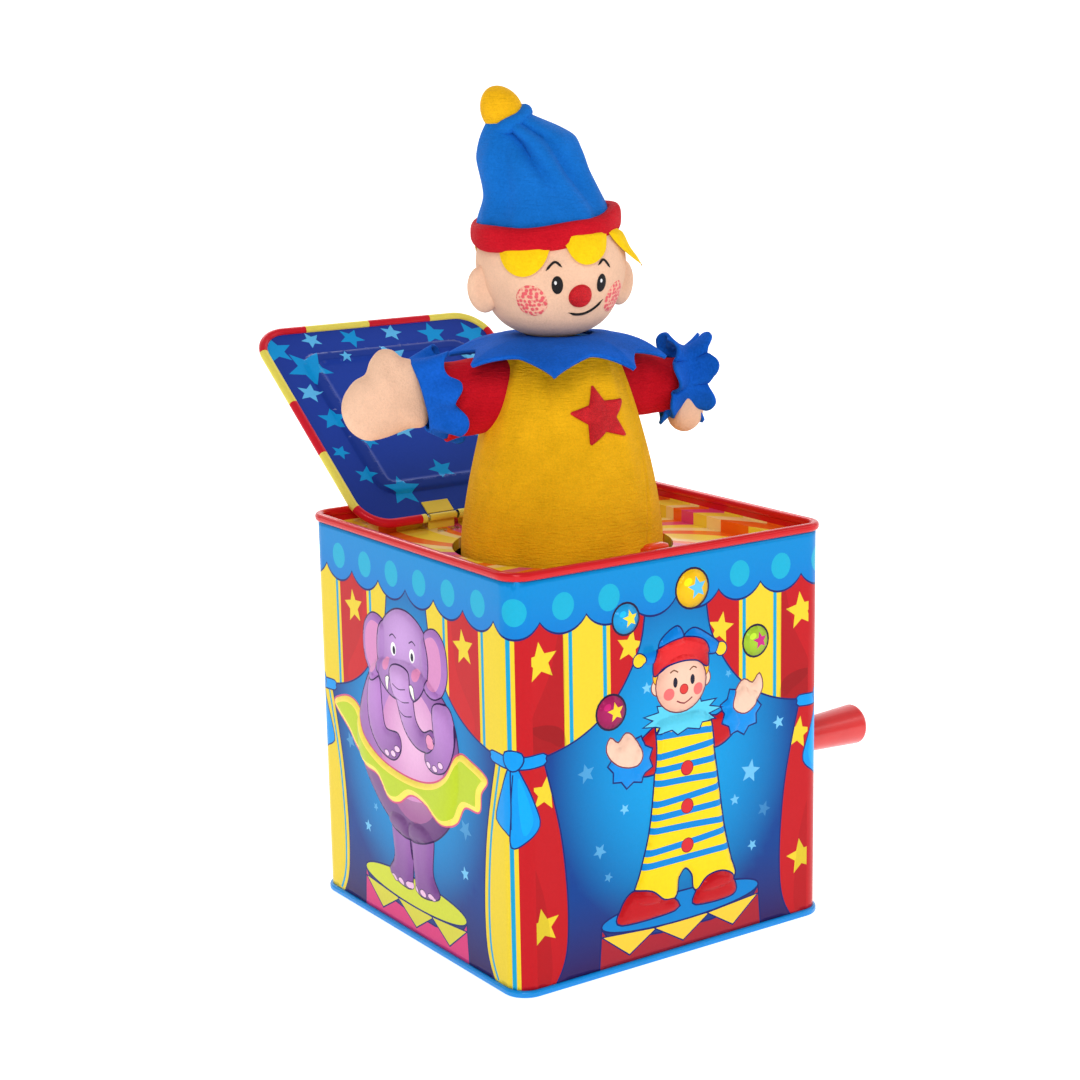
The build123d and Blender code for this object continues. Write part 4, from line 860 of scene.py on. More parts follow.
def tube(path, radius, sides=10, close=False, squash=1.0, facing=None):
    """A tube round a path: a circle, or an oval of that share in the facing direction, square to the path at
    every point. The radius may change along it."""
    path = np.asarray(path, float)
    slope = np.roll(path, -1, 0) - np.roll(path, 1, 0) if close else np.gradient(path, axis=0)
    slope /= np.linalg.norm(slope, axis=1, keepdims=True)
    reference = np.broadcast_to(np.array([0.0, 0, 1.0]) if facing is None else facing, path.shape)
    across = np.cross(slope, reference)
    across /= np.maximum(np.linalg.norm(across, axis=1, keepdims=True), 1e-9)
    other = np.cross(across, slope)
    a = np.linspace(0, 2 * np.pi, sides, endpoint=False)
    radius = np.broadcast_to(radius, len(path))[:, None, None]
    ring = across[:, None] * np.cos(a)[None, :, None] + squash * other[:, None] * np.sin(a)[None, :, None]
    return path[:, None] + radius * ring


# Inside: stars and the pressed bead. Outside: rays from the middle. Both sides are cut into the same
# triangles, so that they stay parallel: each print keeps the other's outlines without inking them.
def lid_side(layers, raised, offset, outward):
    """One printed side of the lid, placed at its offset from the lid's mid-surface."""
    u = np.linspace(0, 1, 160, endpoint=False)
    border, _ = rounded_square(u, LID_HALF - HEM, LID_LONG / 2 - HEM, LID_CORNER - HEM, LID_MIDDLE)
    flat, triangles, ink, height = flat_print(border, layers, raised, 1.2, 5.0)
    placed = on_lid(flat[:, 0], flat[:, 1], offset + height)
    return placed, triangles[:, ::-1] if outward else triangles, ink[:, ::-1] if outward else ink


def uninked(layers):
    """The layers' outlines alone."""
    return [(outline, lambda points, under: under, None) for outline, _, _ in layers]


NIGHT = (26, 62, 164)
wide = [(-80, -20), (80, -20), (80, 140), (-80, 140)]
u = np.linspace(0, 1, 100, endpoint=False)
bead_out, _ = rounded_square(u, LID_HALF - 16, LID_LONG / 2 - 16, 8, LID_MIDDLE)
bead_in, _ = rounded_square(u, LID_HALF - 21.5, LID_LONG / 2 - 21.5, 4, LID_MIDDLE)
inner_print = [(wide, fading(NIGHT, (18, 42, 134), (0, 60), (90, 90), 2), None)]
inner_print += [(bead_out, shade(0.82), None), (bead_in, shade(1.22), None)]
for k, (x, y, r, deep) in enumerate((
    (-49, 100, 8, 1), (-30.5, 104, 4.8, 0), (-12, 103, 6, 1), (8, 104, 5, 0), (27, 101, 7, 1), (46, 98, 8.5, 1),
    (-39, 88, 10.5, 1), (-45, 74, 5.6, 0), (-20, 92, 3, 0), (0, 88, 9, 0), (18, 84, 4.6, 1), (38, 82, 6, 0),
    (-42, 58, 6.4, 1), (-26, 66, 5.4, 1), (-6, 68, 6.5, 1), (14, 62, 8, 0), (33, 60, 5, 1), (48, 64, 5, 0),
    (-32, 44, 4.2, 1), (-47, 40, 4, 1), (-14, 48, 5.4, 0), (4, 42, 4.6, 1), (24, 40, 9, 1), (44, 40, 6.4, 0),
    (-42, 26, 4.8, 1), (-30.5, 15.5, 8.2, 1), (-8, 24, 6, 1), (10, 18, 4.6, 0), (26, 20, 5, 1), (44, 20, 7.5, 1),
)):
    inner_print += [(star(x, y, r, 17 * k), (0, 148, 218) if deep else (92, 186, 240), None)]
press = [(bead_out, 1.0, 1.4), (bead_in, -1.0, 1.4)]
outer_print = [(wide, (204, 30, 40), None)]
for k in range(8):
    a, b = (k - 0.25) * math.pi / 4, (k + 0.25) * math.pi / 4
    ray = [(0, LID_MIDDLE), (150 * math.cos(a), LID_MIDDLE + 150 * math.sin(a)), (150 * math.cos(b), LID_MIDDLE + 150 * math.sin(b))]
    outer_print += [(ray, (240, 214, 66), None)]
outer_print += [(oval(0, LID_MIDDLE, 24), (0, 140, 215), None), (star(0, LID_MIDDLE, 20), (250, 222, 74), None)]
panel = printed_piece(
    "lid_panel",
    [
        lid_side(inner_print + uninked(outer_print), press, 0.25, False),
        lid_side(uninked(inner_print) + outer_print, press, -0.25, True),
    ],
    inner=False,
)
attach(panel, "lid")
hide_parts("lid")

# The hem: a roll of tin that follows the outline, left out at the two notches where the tongues curl.
hem_count = 400
u = (np.arange(hem_count) + 0.5) / hem_count
line, out = rounded_square(u, LID_HALF - HEM, LID_LONG / 2 - HEM, LID_CORNER - HEM, LID_MIDDLE)
a = np.linspace(0, 2 * np.pi, 14, endpoint=False)
centre = on_lid(line[:, 0], line[:, 1], 0.0)
away = out[:, 0, None] * np.array([1.0, 0, 0]) + out[:, 1, None] * lid_up
ring = centre[:, None] + HEM * (away[:, None] * np.cos(a)[None, :, None] + lid_inward * np.sin(a)[None, :, None])
at_notch = (line[:, 1] < 1) & (np.abs(np.abs(line[:, 0]) - 20.0) < 6.6)
run = hem_count * ((u * 7 + 0.5) % 1 < 0.5)
faces = grid_faces(hem_count, 14, True, True)
cut = at_notch | np.roll(at_notch, -1)
first_row = np.arange(len(faces)) // 14
faces = faces[~cut[first_row]]
kept_row = first_row[~cut[first_row]]
hem_roll = mesh_from("lid_hem", ring.reshape(-1, 3), faces)
shades = np.where((run > 0)[kept_row][:, None], linear((232, 216, 92)), linear((206, 26, 44)))
corner_paint(hem_roll, np.repeat(shades[:, None], 4, 1))
hem_roll.data.materials.append(PRINTED_TIN)
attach(hem_roll, "lid")

# ---------------------------------------------------------------------------------------------
# LATCH. A strip of painted metal on a pin in a bracket on the front wall, pushed back by a small coil; its
# hook comes up through a slot and holds the lid's front edge.
orange_enamel = enamel("orange_enamel", (240, 68, 24))
finish("latch_lever", orange_enamel)
lever_low, lever_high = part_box("latch_lever")
u, v = np.linspace(0, 2 * np.pi, 48, endpoint=False)[None], np.linspace(-np.pi / 2, np.pi / 2, 24)[:, None]


def soft(value, power):
    """A sine or cosine raised to a power with its sign kept: under 1 it squares a circle off."""
    return np.sign(value) * np.abs(value) ** power


nose_x = 5.0 * soft(np.cos(v), 0.5) * soft(np.cos(u), 0.6)
nose_y = -58.6 + 2.6 * soft(np.cos(v), 0.5) * soft(np.sin(u), 0.7)
nose_z = lever_high.z / MM - 1.1 + 1.6 * soft(np.sin(v), 0.8) + 0 * u
hook_nose = woven("hook_nose", np.stack([nose_x, nose_y, nose_z], -1))
dress_up(hook_nose, orange_enamel, "latch", "orange_metal")
for node in ("latch_bracket", "latch_pin"):
    finish(node, steel)
finish("latch_spring", dark_steel)

# CRANK. A bent steel rod through a brass bush, with a turned plastic knob free on its end.
def moulded_plastic():
    """Gloss moulded plastic: one colour, slight clouding, very fine moulding texture."""
    material, tree, surface = shader("red_plastic", Roughness=0.28, Base_Color=(*linear((214, 30, 34)), 1))
    surface.inputs["Subsurface Weight"].default_value = 0.04
    surface.inputs["Coat Weight"].default_value = 0.35
    surface.inputs["Coat Roughness"].default_value = 0.12
    place = add_node(tree, "ShaderNodeTexCoord").outputs["Object"]
    cloud = add_node(tree, "ShaderNodeTexNoise", {"Vector": place, "Scale": 80.0, "Detail": 4.0})
    mix = add_node(tree, "ShaderNodeMix", {"Factor": cloud.outputs["Fac"]}, data_type="RGBA")
    mix.inputs[6].default_value = (*linear((200, 22, 28)), 1)
    mix.inputs[7].default_value = (*linear((226, 44, 42)), 1)
    fine = add_node(tree, "ShaderNodeTexNoise", {"Vector": place, "Scale": 1500.0, "Detail": 2.0})
    bump = add_node(tree, "ShaderNodeBump", {"Height": fine.outputs["Fac"], "Strength": 0.1, "Distance": 0.0002})
    tree.links.new(mix.outputs[2], surface.inputs["Base Color"])
    tree.links.new(bump.outputs["Normal"], surface.inputs["Normal"])
    return material


finish("crank_knob", moulded_plastic())
finish("crank_rod", steel)
for node in ("crank_bush", "pinion", "drum_gear", "drum"):
    finish(node, brass)

# MUSIC MOVEMENT. A folded steel frame on the wall holds the pinned brass drum, its gear, the comb and the
# cam that trips the latch.
for node in ("music_frame", "frame_rivets", "comb_screws", "comb_block", "release_cam", "comb"):
    finish(node, steel if node != "comb" else dark_steel)

# ---------------------------------------------------------------------------------------------
# SPRING. A long coil of steel wire from a seat on the floor to the plate in the clown's neck.
seat_low, seat_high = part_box("spring_seat")
plate_low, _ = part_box("neck_plate")
coil_low, coil_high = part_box("main_spring")
WIRE = 0.8
t = np.linspace(0, 1, 700)
coil_radius = (coil_high.x - coil_low.x) / 2 / MM - WIRE
z = coil_low.z / MM + WIRE + t * ((coil_high.z - coil_low.z) / MM - 2 * WIRE)
turns = 2 * np.pi * 12 * t
coil = np.stack([coil_radius * np.cos(turns), coil_radius * np.sin(turns), z], -1)
coil = woven("spring_coil", tube(coil, WIRE, 8))
dress_up(coil, dark_steel, "case", "spring_steel", "main_spring")
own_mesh(coil)
finish("spring_seat", steel)
finish("neck_plate", steel)

# ---------------------------------------------------------------------------------------------
# DRESS. A sewn tube of stretch velour, gathered at the neck and falling in soft folds over the spring to the
# floor of the box. The pile catches light at the edges, and the knit's fine rows run across it.
doll_turn = math.radians(-14.0)
doll_right = np.array([math.cos(doll_turn), math.sin(doll_turn), 0.0])
doll_front = np.array([math.sin(doll_turn), -math.cos(doll_turn), 0.0])


def on_doll(x, front, z):
    """A point by its place to the doll's right, in front of its middle, and up, all in millimetres."""
    x, front, z = np.broadcast_arrays(x, front, z)
    return x[..., None] * doll_right + front[..., None] * doll_front + z[..., None] * np.array([0, 0, 1.0])


def cloth_material(name, rgb, sheen, pile, rows=None, uneven=0.12, roughness=0.85):
    """Pile fabric: colour that varies in soft clouds and in single tufts, sheen from the standing fibres, and a
    bump of tufts at the pile's scale, with knitted rows across it if their spacing is given."""
    material, tree, surface = shader(name, Roughness=roughness)
    surface.inputs["Sheen Weight"].default_value = sheen
    surface.inputs["Sheen Roughness"].default_value = 0.4
    surface.inputs["Sheen Tint"].default_value = (*np.clip(linear(rgb) * 1.2 + 0.1, 0, 1), 1)
    surface.inputs["Specular IOR Level"].default_value = 0.15
    place = add_node(tree, "ShaderNodeTexCoord").outputs["Object"]
    cloud = add_node(tree, "ShaderNodeTexNoise", {"Vector": place, "Scale": 70.0, "Detail": 5.0, "Roughness": 0.65})
    tuft = add_node(tree, "ShaderNodeTexNoise", {"Vector": place, "Scale": pile, "Detail": 3.0, "Roughness": 0.7})
    both = add_node(tree, "ShaderNodeMath", {0: cloud.outputs["Fac"], 1: tuft.outputs["Fac"]}, operation="ADD")
    half_sum = add_node(tree, "ShaderNodeMapRange", {"Value": both.outputs[0], "From Min": 0.7, "From Max": 1.3})
    mix = add_node(tree, "ShaderNodeMix", {"Factor": half_sum.outputs["Result"]}, data_type="RGBA")
    base = linear(rgb)
    mix.inputs[6].default_value = (*np.clip(base * (1 - uneven * 1.6), 0, 1), 1)
    mix.inputs[7].default_value = (*np.clip(base * (1 + uneven) + uneven * 0.04, 0, 1), 1)
    height = tuft.outputs["Fac"]
    if rows:
        stretch = add_node(tree, "ShaderNodeMapping", {"Vector": place, "Scale": (rows * 0.16, rows * 0.16, rows)})
        knit = add_node(tree, "ShaderNodeTexNoise", {"Vector": stretch.outputs["Vector"], "Scale": 1.0, "Detail": 2.0, "Distortion": 0.6})
        height = add_node(tree, "ShaderNodeMath", {0: knit.outputs["Fac"], 1: 2.0, 2: tuft.outputs["Fac"]}, operation="MULTIPLY_ADD").outputs[0]
    bump = add_node(tree, "ShaderNodeBump", {"Height": height, "Strength": 0.5, "Distance": 0.0007})
    tree.links.new(mix.outputs[2], surface.inputs["Base Color"])
    tree.links.new(bump.outputs["Normal"], surface.inputs["Normal"])
    return material


yellow_velour = cloth_material("yellow_velour", (236, 176, 2), 0.14, 1500.0, 1300.0)
red_velour = cloth_material("red_velour", (200, 2, 28), 0.12, 1500.0, 1500.0)
blue_velour = cloth_material("blue_velour", (0, 106, 196), 0.16, 1500.0, 900.0)
blue_felt = cloth_material("blue_felt", (0, 90, 196), 0.16, 1100.0, None, 0.16, 0.95)
yellow_felt = cloth_material("yellow_felt", (248, 200, 6), 0.15, 1100.0, None, 0.1, 0.95)
fleece = cloth_material("face_fleece", (236, 192, 162), 0.2, 1300.0, None, 0.07, 0.9)
red_stitch = cloth_material("red_stitch", (206, 10, 26), 0.15, 2600.0, 2400.0, 0.35, 0.4)
black_stitch = cloth_material("black_stitch", (18, 16, 18), 0.1, 2600.0, None, 0.3, 0.5)

dress_low, dress_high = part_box("dress")
MOUTH_Z = LEDGE / MM - 4.8
DRESS_Z = np.array([dress_low.z / MM, 0.35 * 153.6, 0.8 * 153.6, MOUTH_Z + 1, MOUTH_Z + 26, 196.0, 212.0, dress_high.z / MM])
DRESS_R = np.array([30.0, 33.0, 37.0, 39.0, 35.2, 28.2, 22.6, 19.0])
fine_z = np.linspace(DRESS_Z[0], DRESS_Z[-1], 400)
fine_r = np.convolve(np.pad(np.interp(fine_z, DRESS_Z, DRESS_R), 20, "edge"), np.ones(41) / 41, "valid")


def dress_surface(angle, z, lift=0.0):
    """The dress: the profile's radius at a height, plus folds that are waves round it, deepest below the collar
    and at the hem, plus a crease left of the middle and a stitched seam on the right. The angle runs from the
    doll's right, over its front."""
    radius = np.interp(z, fine_z, fine_r)
    gather = np.clip((z - 150) / 62, 0, 1) ** 1.3 * np.clip((222 - z) / 10, 0.3, 1)
    radius = radius + gather * (0.55 * np.sin(7 * angle + 0.6) + 0.4 * np.sin(12 * angle + 2.1) + 0.3 * np.sin(19 * angle))
    radius = radius + 0.5 * np.sin(3 * angle + z / 30) * np.clip((200 - z) / 60, 0, 1)
    crease = math.radians(122) + 0.0009 * (z - 214) * 3
    along = np.clip((z - 178) / 30, 0, 1)
    radius = radius - 1.5 * along * np.exp(-(((angle - crease) / 0.075) ** 2)) + 0.9 * along * np.exp(-(((angle - crease - 0.2) / 0.12) ** 2))
    seam = math.radians(27) + math.radians(30) * np.clip((214 - z) / 70, 0, 1.3)
    radius = radius - 0.7 * np.exp(-(((angle - seam) / 0.022) ** 2)) + 0.35 * np.exp(-(((angle - seam - 0.06) / 0.03) ** 2))
    radius = radius + lift
    return on_doll(radius * np.cos(angle), radius * np.sin(angle), z)


a = np.linspace(0, 2 * np.pi, 260, endpoint=False)
z = np.linspace(DRESS_Z[0] + 0.2, DRESS_Z[-1] - 0.2, 190)
dress = woven("dress_cloth", dress_surface(a[None], z[:, None]), flip=True)
thick = dress.modifiers.new("cloth", "SOLIDIFY")
thick.thickness, thick.offset = 1.0 * MM, -1.0
dress_up(dress, yellow_velour, "case", "yellow_velour", "dress")
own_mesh(dress)

# STAR. Satin stitch in a bright thread on the chest: a rounded star that swells a little in the middle.
def soft_star(share, angle, reach, waist, turn):
    """A star in polar form: from each tip to the next waist the radius follows the straight line between the
    two, and a small rounding takes the point off the tip."""
    step = np.pi / 5
    off = np.abs((angle - turn + step) % (2 * step) - step)
    edge = reach * waist * np.sin(step) / (reach * np.sin(off) + waist * np.sin(step - off))
    return share * np.minimum(edge, reach * 0.93 + 0 * edge)


share = np.linspace(0.001, 1, 22)[:, None]
a = np.linspace(0, 2 * np.pi, 150, endpoint=False)[None]
reach = soft_star(share, a, 12.8, 6.3, math.radians(99))
star_angle, star_z = math.atan2(24.0, 4.8), 195.4
across, upward = reach * np.cos(a), reach * np.sin(a)
swell = 0.35 + 0.9 * np.sqrt(np.maximum(1 - share**6, 0)) + 0 * a
chest = dress_surface(star_angle - across / 27.5, star_z + upward * 0.93, swell)
chest_star = woven("chest_star_stitch", chest, flip=False)
dress_up(chest_star, red_stitch, "case", "red_thread", "chest_star")
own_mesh(chest_star)

# ---------------------------------------------------------------------------------------------
# HEAD. A stuffed ball of brushed fleece on the neck plate, with two padded ears and an embroidered face.
HEAD_X, HEAD_Z, HEAD_R = -2.5, 249.3, 27.8


def head_surface(side, rise, lift=0.0):
    """The head: a ball, a little narrower towards the chin and flatter at the back. side is the angle to the
    doll's right of its nose and rise the angle above its middle."""
    radius = HEAD_R * (1 - 0.02 * np.cos(side) * np.cos(rise) * np.sin(2 * rise)) + lift
    radius = radius + 0.25 * np.sin(3 * side + 1) * np.cos(rise) ** 2 + 1.1 * np.exp(-(((rise + 0.8) / 0.3) ** 2))
    wide_share = 1 - 0.05 * np.clip(-np.sin(rise), 0, 1)
    return on_doll(HEAD_X + radius * np.cos(rise) * np.sin(side) * wide_share, radius * np.cos(rise) * np.cos(side), HEAD_Z + radius * np.sin(rise))


side = np.linspace(0, 2 * np.pi, 120, endpoint=False)[None]
rise = np.linspace(-np.pi / 2, np.pi / 2, 80)[:, None]
head = woven("head_ball", head_surface(side, rise))
dress_up(head, fleece, "clown", "face_knit", "head")


def pillow(outline, middle, depth, rows=28, power=1.0, bend=None):
    """A stuffed shape from its flat outline: rings shrink from the outline to the middle as the sine of an
    angle, while the front stands out by the depth times its cosine, so the rim is round. bend adds creases."""
    ring = np.asarray(outline, float)
    v = np.linspace(0, np.pi, rows)[:, None]
    share = np.sin(v) ** power
    flat = np.asarray(middle) + share[..., None] * (ring - middle)[None]
    front = depth * np.cos(v) + 0 * flat[..., 0]
    if bend is not None:
        front = front + bend(flat[..., 0], flat[..., 1], np.cos(v)) * share
    return flat[..., 0], front, flat[..., 1]


for way, name in ((-1, "left_ear"), (1, "right_ear")):
    lobe = curve_through(oval(0, 0, 6.2, 8.6, -8 * way), True, 1.0)
    x, front, z = pillow(lobe, (0.0, 0.0), 3.4, 24, 0.9)
    dish = 1.6 * np.exp(-((x / 3.2) ** 2) - ((z / 4.6) ** 2))
    front = front - dish * (front > 0)
    lean = math.radians(24)
    place = on_doll(
        HEAD_X + way * (HEAD_R - 0.8) + x * math.cos(lean) + way * front * math.sin(lean) * 0.5,
        0.5 + front * math.cos(lean) - way * x * math.sin(lean) * 0.6,
        HEAD_Z - 8.4 + z,
    )
    ear = woven(name + "_pad", place)
    dress_up(ear, fleece, "clown", "face_knit", *(["ears"] if way < 0 else []))


def stitched_patch(name, side, rise, half_wide, half_high, turn, material, lift=0.5, dots=False):
    """A flat oval of stitches on the face: rings of an ellipse on the ball, swelling by the lift."""
    share = np.linspace(0.001, 1, 12)[:, None]
    a = np.linspace(0, 2 * np.pi, 44, endpoint=False)[None]
    p, q = share * half_wide * np.cos(a), share * half_high * np.sin(a)
    c, s = math.cos(turn), math.sin(turn)
    p, q = p * c - q * s, p * s + q * c
    up = math.radians(rise) + q / HEAD_R
    round_it = math.radians(side) + p / HEAD_R / np.cos(up)
    place = head_surface(round_it, up, lift * np.sqrt(np.maximum(1 - share**4, 0)) + 0.02 + 0 * a)
    patch = woven(name, place, flip=True)
    dress_up(patch, material, "clown", "red_thread")
    return patch


def stitched_line(name, points, width, material):
    """A raised line of stitches on the face through points given by side and rise."""
    line = curve_through(points, False, 0.7)
    path = head_surface(np.radians(line[:, 0]), np.radians(line[:, 1]), 0.1)
    taper = width * np.clip(np.minimum(np.linspace(0, 8, len(path)), np.linspace(8, 0, len(path))), 0.25, 1)
    line_piece = woven(name, tube(path, taper, 8))
    dress_up(line_piece, material, "clown", "red_thread")
    return line_piece


def cheek_thread():
    """Loops of coral thread on the skin colour: round cells show the loops, with fleece between them."""
    material, tree, surface = shader("cheek_thread", Roughness=0.6)
    place = add_node(tree, "ShaderNodeTexCoord").outputs["Object"]
    cell = add_node(tree, "ShaderNodeTexVoronoi", {"Vector": place, "Scale": 720.0, "Randomness": 0.5})
    loop = add_node(tree, "ShaderNodeMapRange", {"Value": cell.outputs["Distance"], "From Min": 0.42, "From Max": 0.6})
    mix = add_node(tree, "ShaderNodeMix", {"Factor": loop.outputs["Result"]}, data_type="RGBA")
    mix.inputs[6].default_value = (*linear((226, 84, 92)), 1)
    mix.inputs[7].default_value = (*linear((240, 178, 150)), 1)
    bump = add_node(tree, "ShaderNodeBump", {"Height": loop.outputs["Result"], "Strength": 0.5, "Distance": 0.0006}, invert=True)
    tree.links.new(mix.outputs[2], surface.inputs["Base Color"])
    tree.links.new(bump.outputs["Normal"], surface.inputs["Normal"])
    return material


coral = cheek_thread()
nose = stitched_patch("nose_stitch", 2.0, -20.5, 4.5, 4.3, 0.0, red_stitch, 1.3)
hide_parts("nose")
for name, way in (("left", -1), ("right", 1)):
    stitched_patch(name + "_eye", 1.6 + way * 18.3, -11.6, 2.1, 3.3, 0.0, black_stitch, 0.6)
    stitched_patch(name + "_glint", 1.6 + way * 18.3 - 1.4, -9.6, 0.55, 0.8, 0.0, cloth_material(name + "_glint_thread", (240, 240, 240), 0.1, 2600.0), 0.85)
    stitched_line(name + "_brow", [(1.6 + way * 14.5, 1.6), (1.6 + way * 20, 5.4), (1.6 + way * 26.5, -0.8)], 0.45, black_stitch)
    stitched_patch(name + "_cheek", 1.6 + way * 40.0, -24.0, 6.0, 6.0, 0.0, coral, 0.5)
stitched_line("mouth_line", [(-7, -33.4), (0, -35), (9, -34.4), (18, -30.4), (25, -24.6)], 0.5, black_stitch)


# HAIR. Two round-ended locks of felt hang from under the hat on the forehead, and a leaf of felt at the side.
def felt_lock(name, outline, thickness=1.3, curl=0.0):
    """A felt shape lying on the head: its outline in side and rise angles, filled by rings towards its middle,
    with a thickness that drops to nothing at the edge. The curl lifts its lower end."""
    ring = curve_through(outline, True, 1.2)
    middle = ring.mean(0)
    v = np.linspace(0, np.pi, 26)[:, None]
    share = np.sin(v) ** 0.45
    flat = middle + share[..., None] * (ring - middle)[None]
    lift = 1.0 + thickness * np.cos(v) * np.clip(3 * (1 - share), 0.35, 1) + curl * np.clip((middle[1] - flat[..., 1]) / 12, 0, 1.5) ** 2
    lift = lift * np.clip((31 - flat[..., 1]) / 8, 0.1, 1)
    lock = woven(name, head_surface(np.radians(flat[..., 0]), np.radians(flat[..., 1]), lift), flip=True)
    return dress_up(lock, yellow_felt, "clown", "yellow_felt")


front_lock = felt_lock("left_lock", [(-64, 32), (-63, 13), (-55, -0.4), (-43, -5.2), (-31, -1.0), (-23, 11), (-21, 32)])
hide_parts("hair")
felt_lock("right_lock", [(-13, 34), (-10, 18), (-4, 7.0), (5, 2.6), (16, 5.6), (25, 15), (28, 34)])
felt_lock("side_lock", [(33, 34), (34, 22), (44, 12), (60, 0.5), (76, -3), (68, 8), (60, 20), (48, 34)], 1.0, 2.2)
felt_lock("back_lock", [(120, 26), (132, 4), (160, -6), (186, -8), (212, -4), (236, 8), (246, 26)])

# ---------------------------------------------------------------------------------------------
# HAT. A red velour roll round the head, and a blue velour bag gathered above it that flops over to one side,
# ending in a rolled cuff and a stuffed yellow tip.
BAND_Z, BAND_X = 263.0, -5.0
a = np.linspace(0, 2 * np.pi, 140, endpoint=False)
path_r = 25.1 + 0.35 * np.sin(3 * a + 1) + 0.25 * np.sin(7 * a)
band_path = np.stack([BAND_X + path_r * np.cos(a), path_r * np.sin(a), BAND_Z + 0.13 * path_r * np.cos(a) + 0.4 * np.sin(2 * a + 2) - 1.6 * np.sin(a)], -1)
b = np.linspace(0, 2 * np.pi, 26, endpoint=False)[None]
thick_out, thick_up = 2.7, 4.5 + 0.35 * np.sin(5 * a)[:, None]
ring_out = thick_out * np.sign(np.cos(b)) * np.abs(np.cos(b)) ** 0.8
ring_up = thick_up * np.sign(np.sin(b)) * np.abs(np.sin(b)) ** 0.7
band = on_doll(
    band_path[:, 0, None] + ring_out * np.cos(a)[:, None],
    band_path[:, 1, None] + ring_out * np.sin(a)[:, None],
    band_path[:, 2, None] + ring_up,
)
hat_roll = woven("hat_roll", band, True, True, flip=False)
dress_up(hat_roll, red_velour, "clown", "red_velour", "hat_band")

HAT_Z = np.array([261.6, 267, 275, 282, 289, 294, 297.6, 300.6, 303])
HAT_X = np.array([-5.0, -5.0, -5.6, -8.0, -9.8, -10.4, -13.2, -16.0, -18.0])
HAT_R = np.array([23.8, 23.8, 20.8, 20.0, 19.6, 17.8, 13.8, 9.6, 6.4])
HAT_DEEP = np.array([23.8, 23.4, 19.5, 17.4, 15.6, 13.4, 10.8, 8.2, 6.2])


def hat_surface(angle, v):
    """The bag of the hat: an oval whose middle, width and depth change with height, pressed in by two slanting
    creases and rippled where it is gathered. The angle runs from the doll's right, over its front."""
    knots = np.linspace(0, 1, len(HAT_Z))
    smooth_v = np.asarray(v)
    z, x, r, deep = (np.interp(smooth_v, knots, k) for k in (HAT_Z, HAT_X, HAT_R, HAT_DEEP))
    body = np.sin(np.pi * np.clip(v, 0, 1)) ** 0.7
    press = -4.6 * np.exp(-(((angle - 1.85 - 1.1 * (v - 0.5)) / 0.17) ** 2)) * np.clip((v - 0.2) / 0.3, 0, 1)
    press = press - 3.4 * np.exp(-(((angle - 1.2 - 0.9 * (v - 0.35)) / 0.2) ** 2)) * body
    press = press + 2.0 * np.exp(-(((angle - 1.52 - 1.0 * (v - 0.4)) / 0.2) ** 2)) * body
    press = press - 2.6 * np.exp(-(((angle - 2.75 + 0.6 * v) / 0.22) ** 2)) * body
    press = press - 2.2 * np.exp(-(((angle - 4.6) / 0.5) ** 2)) * body - 1.8 * np.exp(-(((angle - 0.35) / 0.25) ** 2)) * body
    ripple = 0.5 * np.sin(17 * angle) * np.clip(1 - v / 0.2, 0, 1) + 0.4 * np.sin(6 * angle + 9 * v) * body
    grown_by = press + ripple
    return on_doll(x + (r + grown_by) * np.cos(angle), (deep + grown_by) * np.sin(angle), z + 0.05 * r * np.cos(angle))


v = np.linspace(0, 1, 90)
a = np.linspace(0, 2 * np.pi, 150, endpoint=False)
bag_points = hat_surface(a[None], v[:, None])
for _ in range(16):
    bag_points[1:-1] = 0.5 * bag_points[1:-1] + 0.25 * (bag_points[2:] + bag_points[:-2])
bag = woven("hat_bag", bag_points, flip=False)
shell = bag.modifiers.new("cloth", "SOLIDIFY")
shell.thickness, shell.offset = 1.0 * MM, -1.0
dress_up(bag, blue_velour, "clown", "blue_velour", "hat")

tip_axis = np.array([-0.5, 0.0, 0.866])
tip_side = np.array([0.866, 0.0, 0.5])
cuff_middle = np.array([-18.4, 0.0, 301.0])
t = np.linspace(0, 2 * np.pi, 60, endpoint=False)
roll = cuff_middle + 6.9 * (np.cos(t)[:, None] * tip_side + np.sin(t)[:, None] * np.array([0, 1.0, 0]))
roll_grid = tube(roll, 2.7 + 0.3 * np.sin(4 * t), 14, True, facing=tip_axis)
hat_cuff = woven("hat_cuff", on_doll(roll_grid[..., 0], roll_grid[..., 1], roll_grid[..., 2]), True, True)
dress_up(hat_cuff, blue_velour, "clown", "blue_velour")
rise = np.linspace(-np.pi / 2, np.pi / 2, 40)[:, None]
egg_r = 7.5 * np.cos(rise) * (1 - 0.1 * np.sin(rise)) + 0 * t
along_egg = 8.6 * np.sin(rise) + 5.4 + 0 * t
egg = cuff_middle + along_egg[..., None] * tip_axis + (egg_r * np.cos(t))[..., None] * tip_side + (egg_r * np.sin(t))[..., None] * np.array([0, 1.0, 0])
egg = woven("hat_egg", on_doll(egg[..., 0], egg[..., 1], egg[..., 2]), flip=False)
dress_up(egg, yellow_velour, "clown", "yellow_velour", "hat_tip")
for piece in (bag, hat_cuff, egg):
    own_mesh(piece)

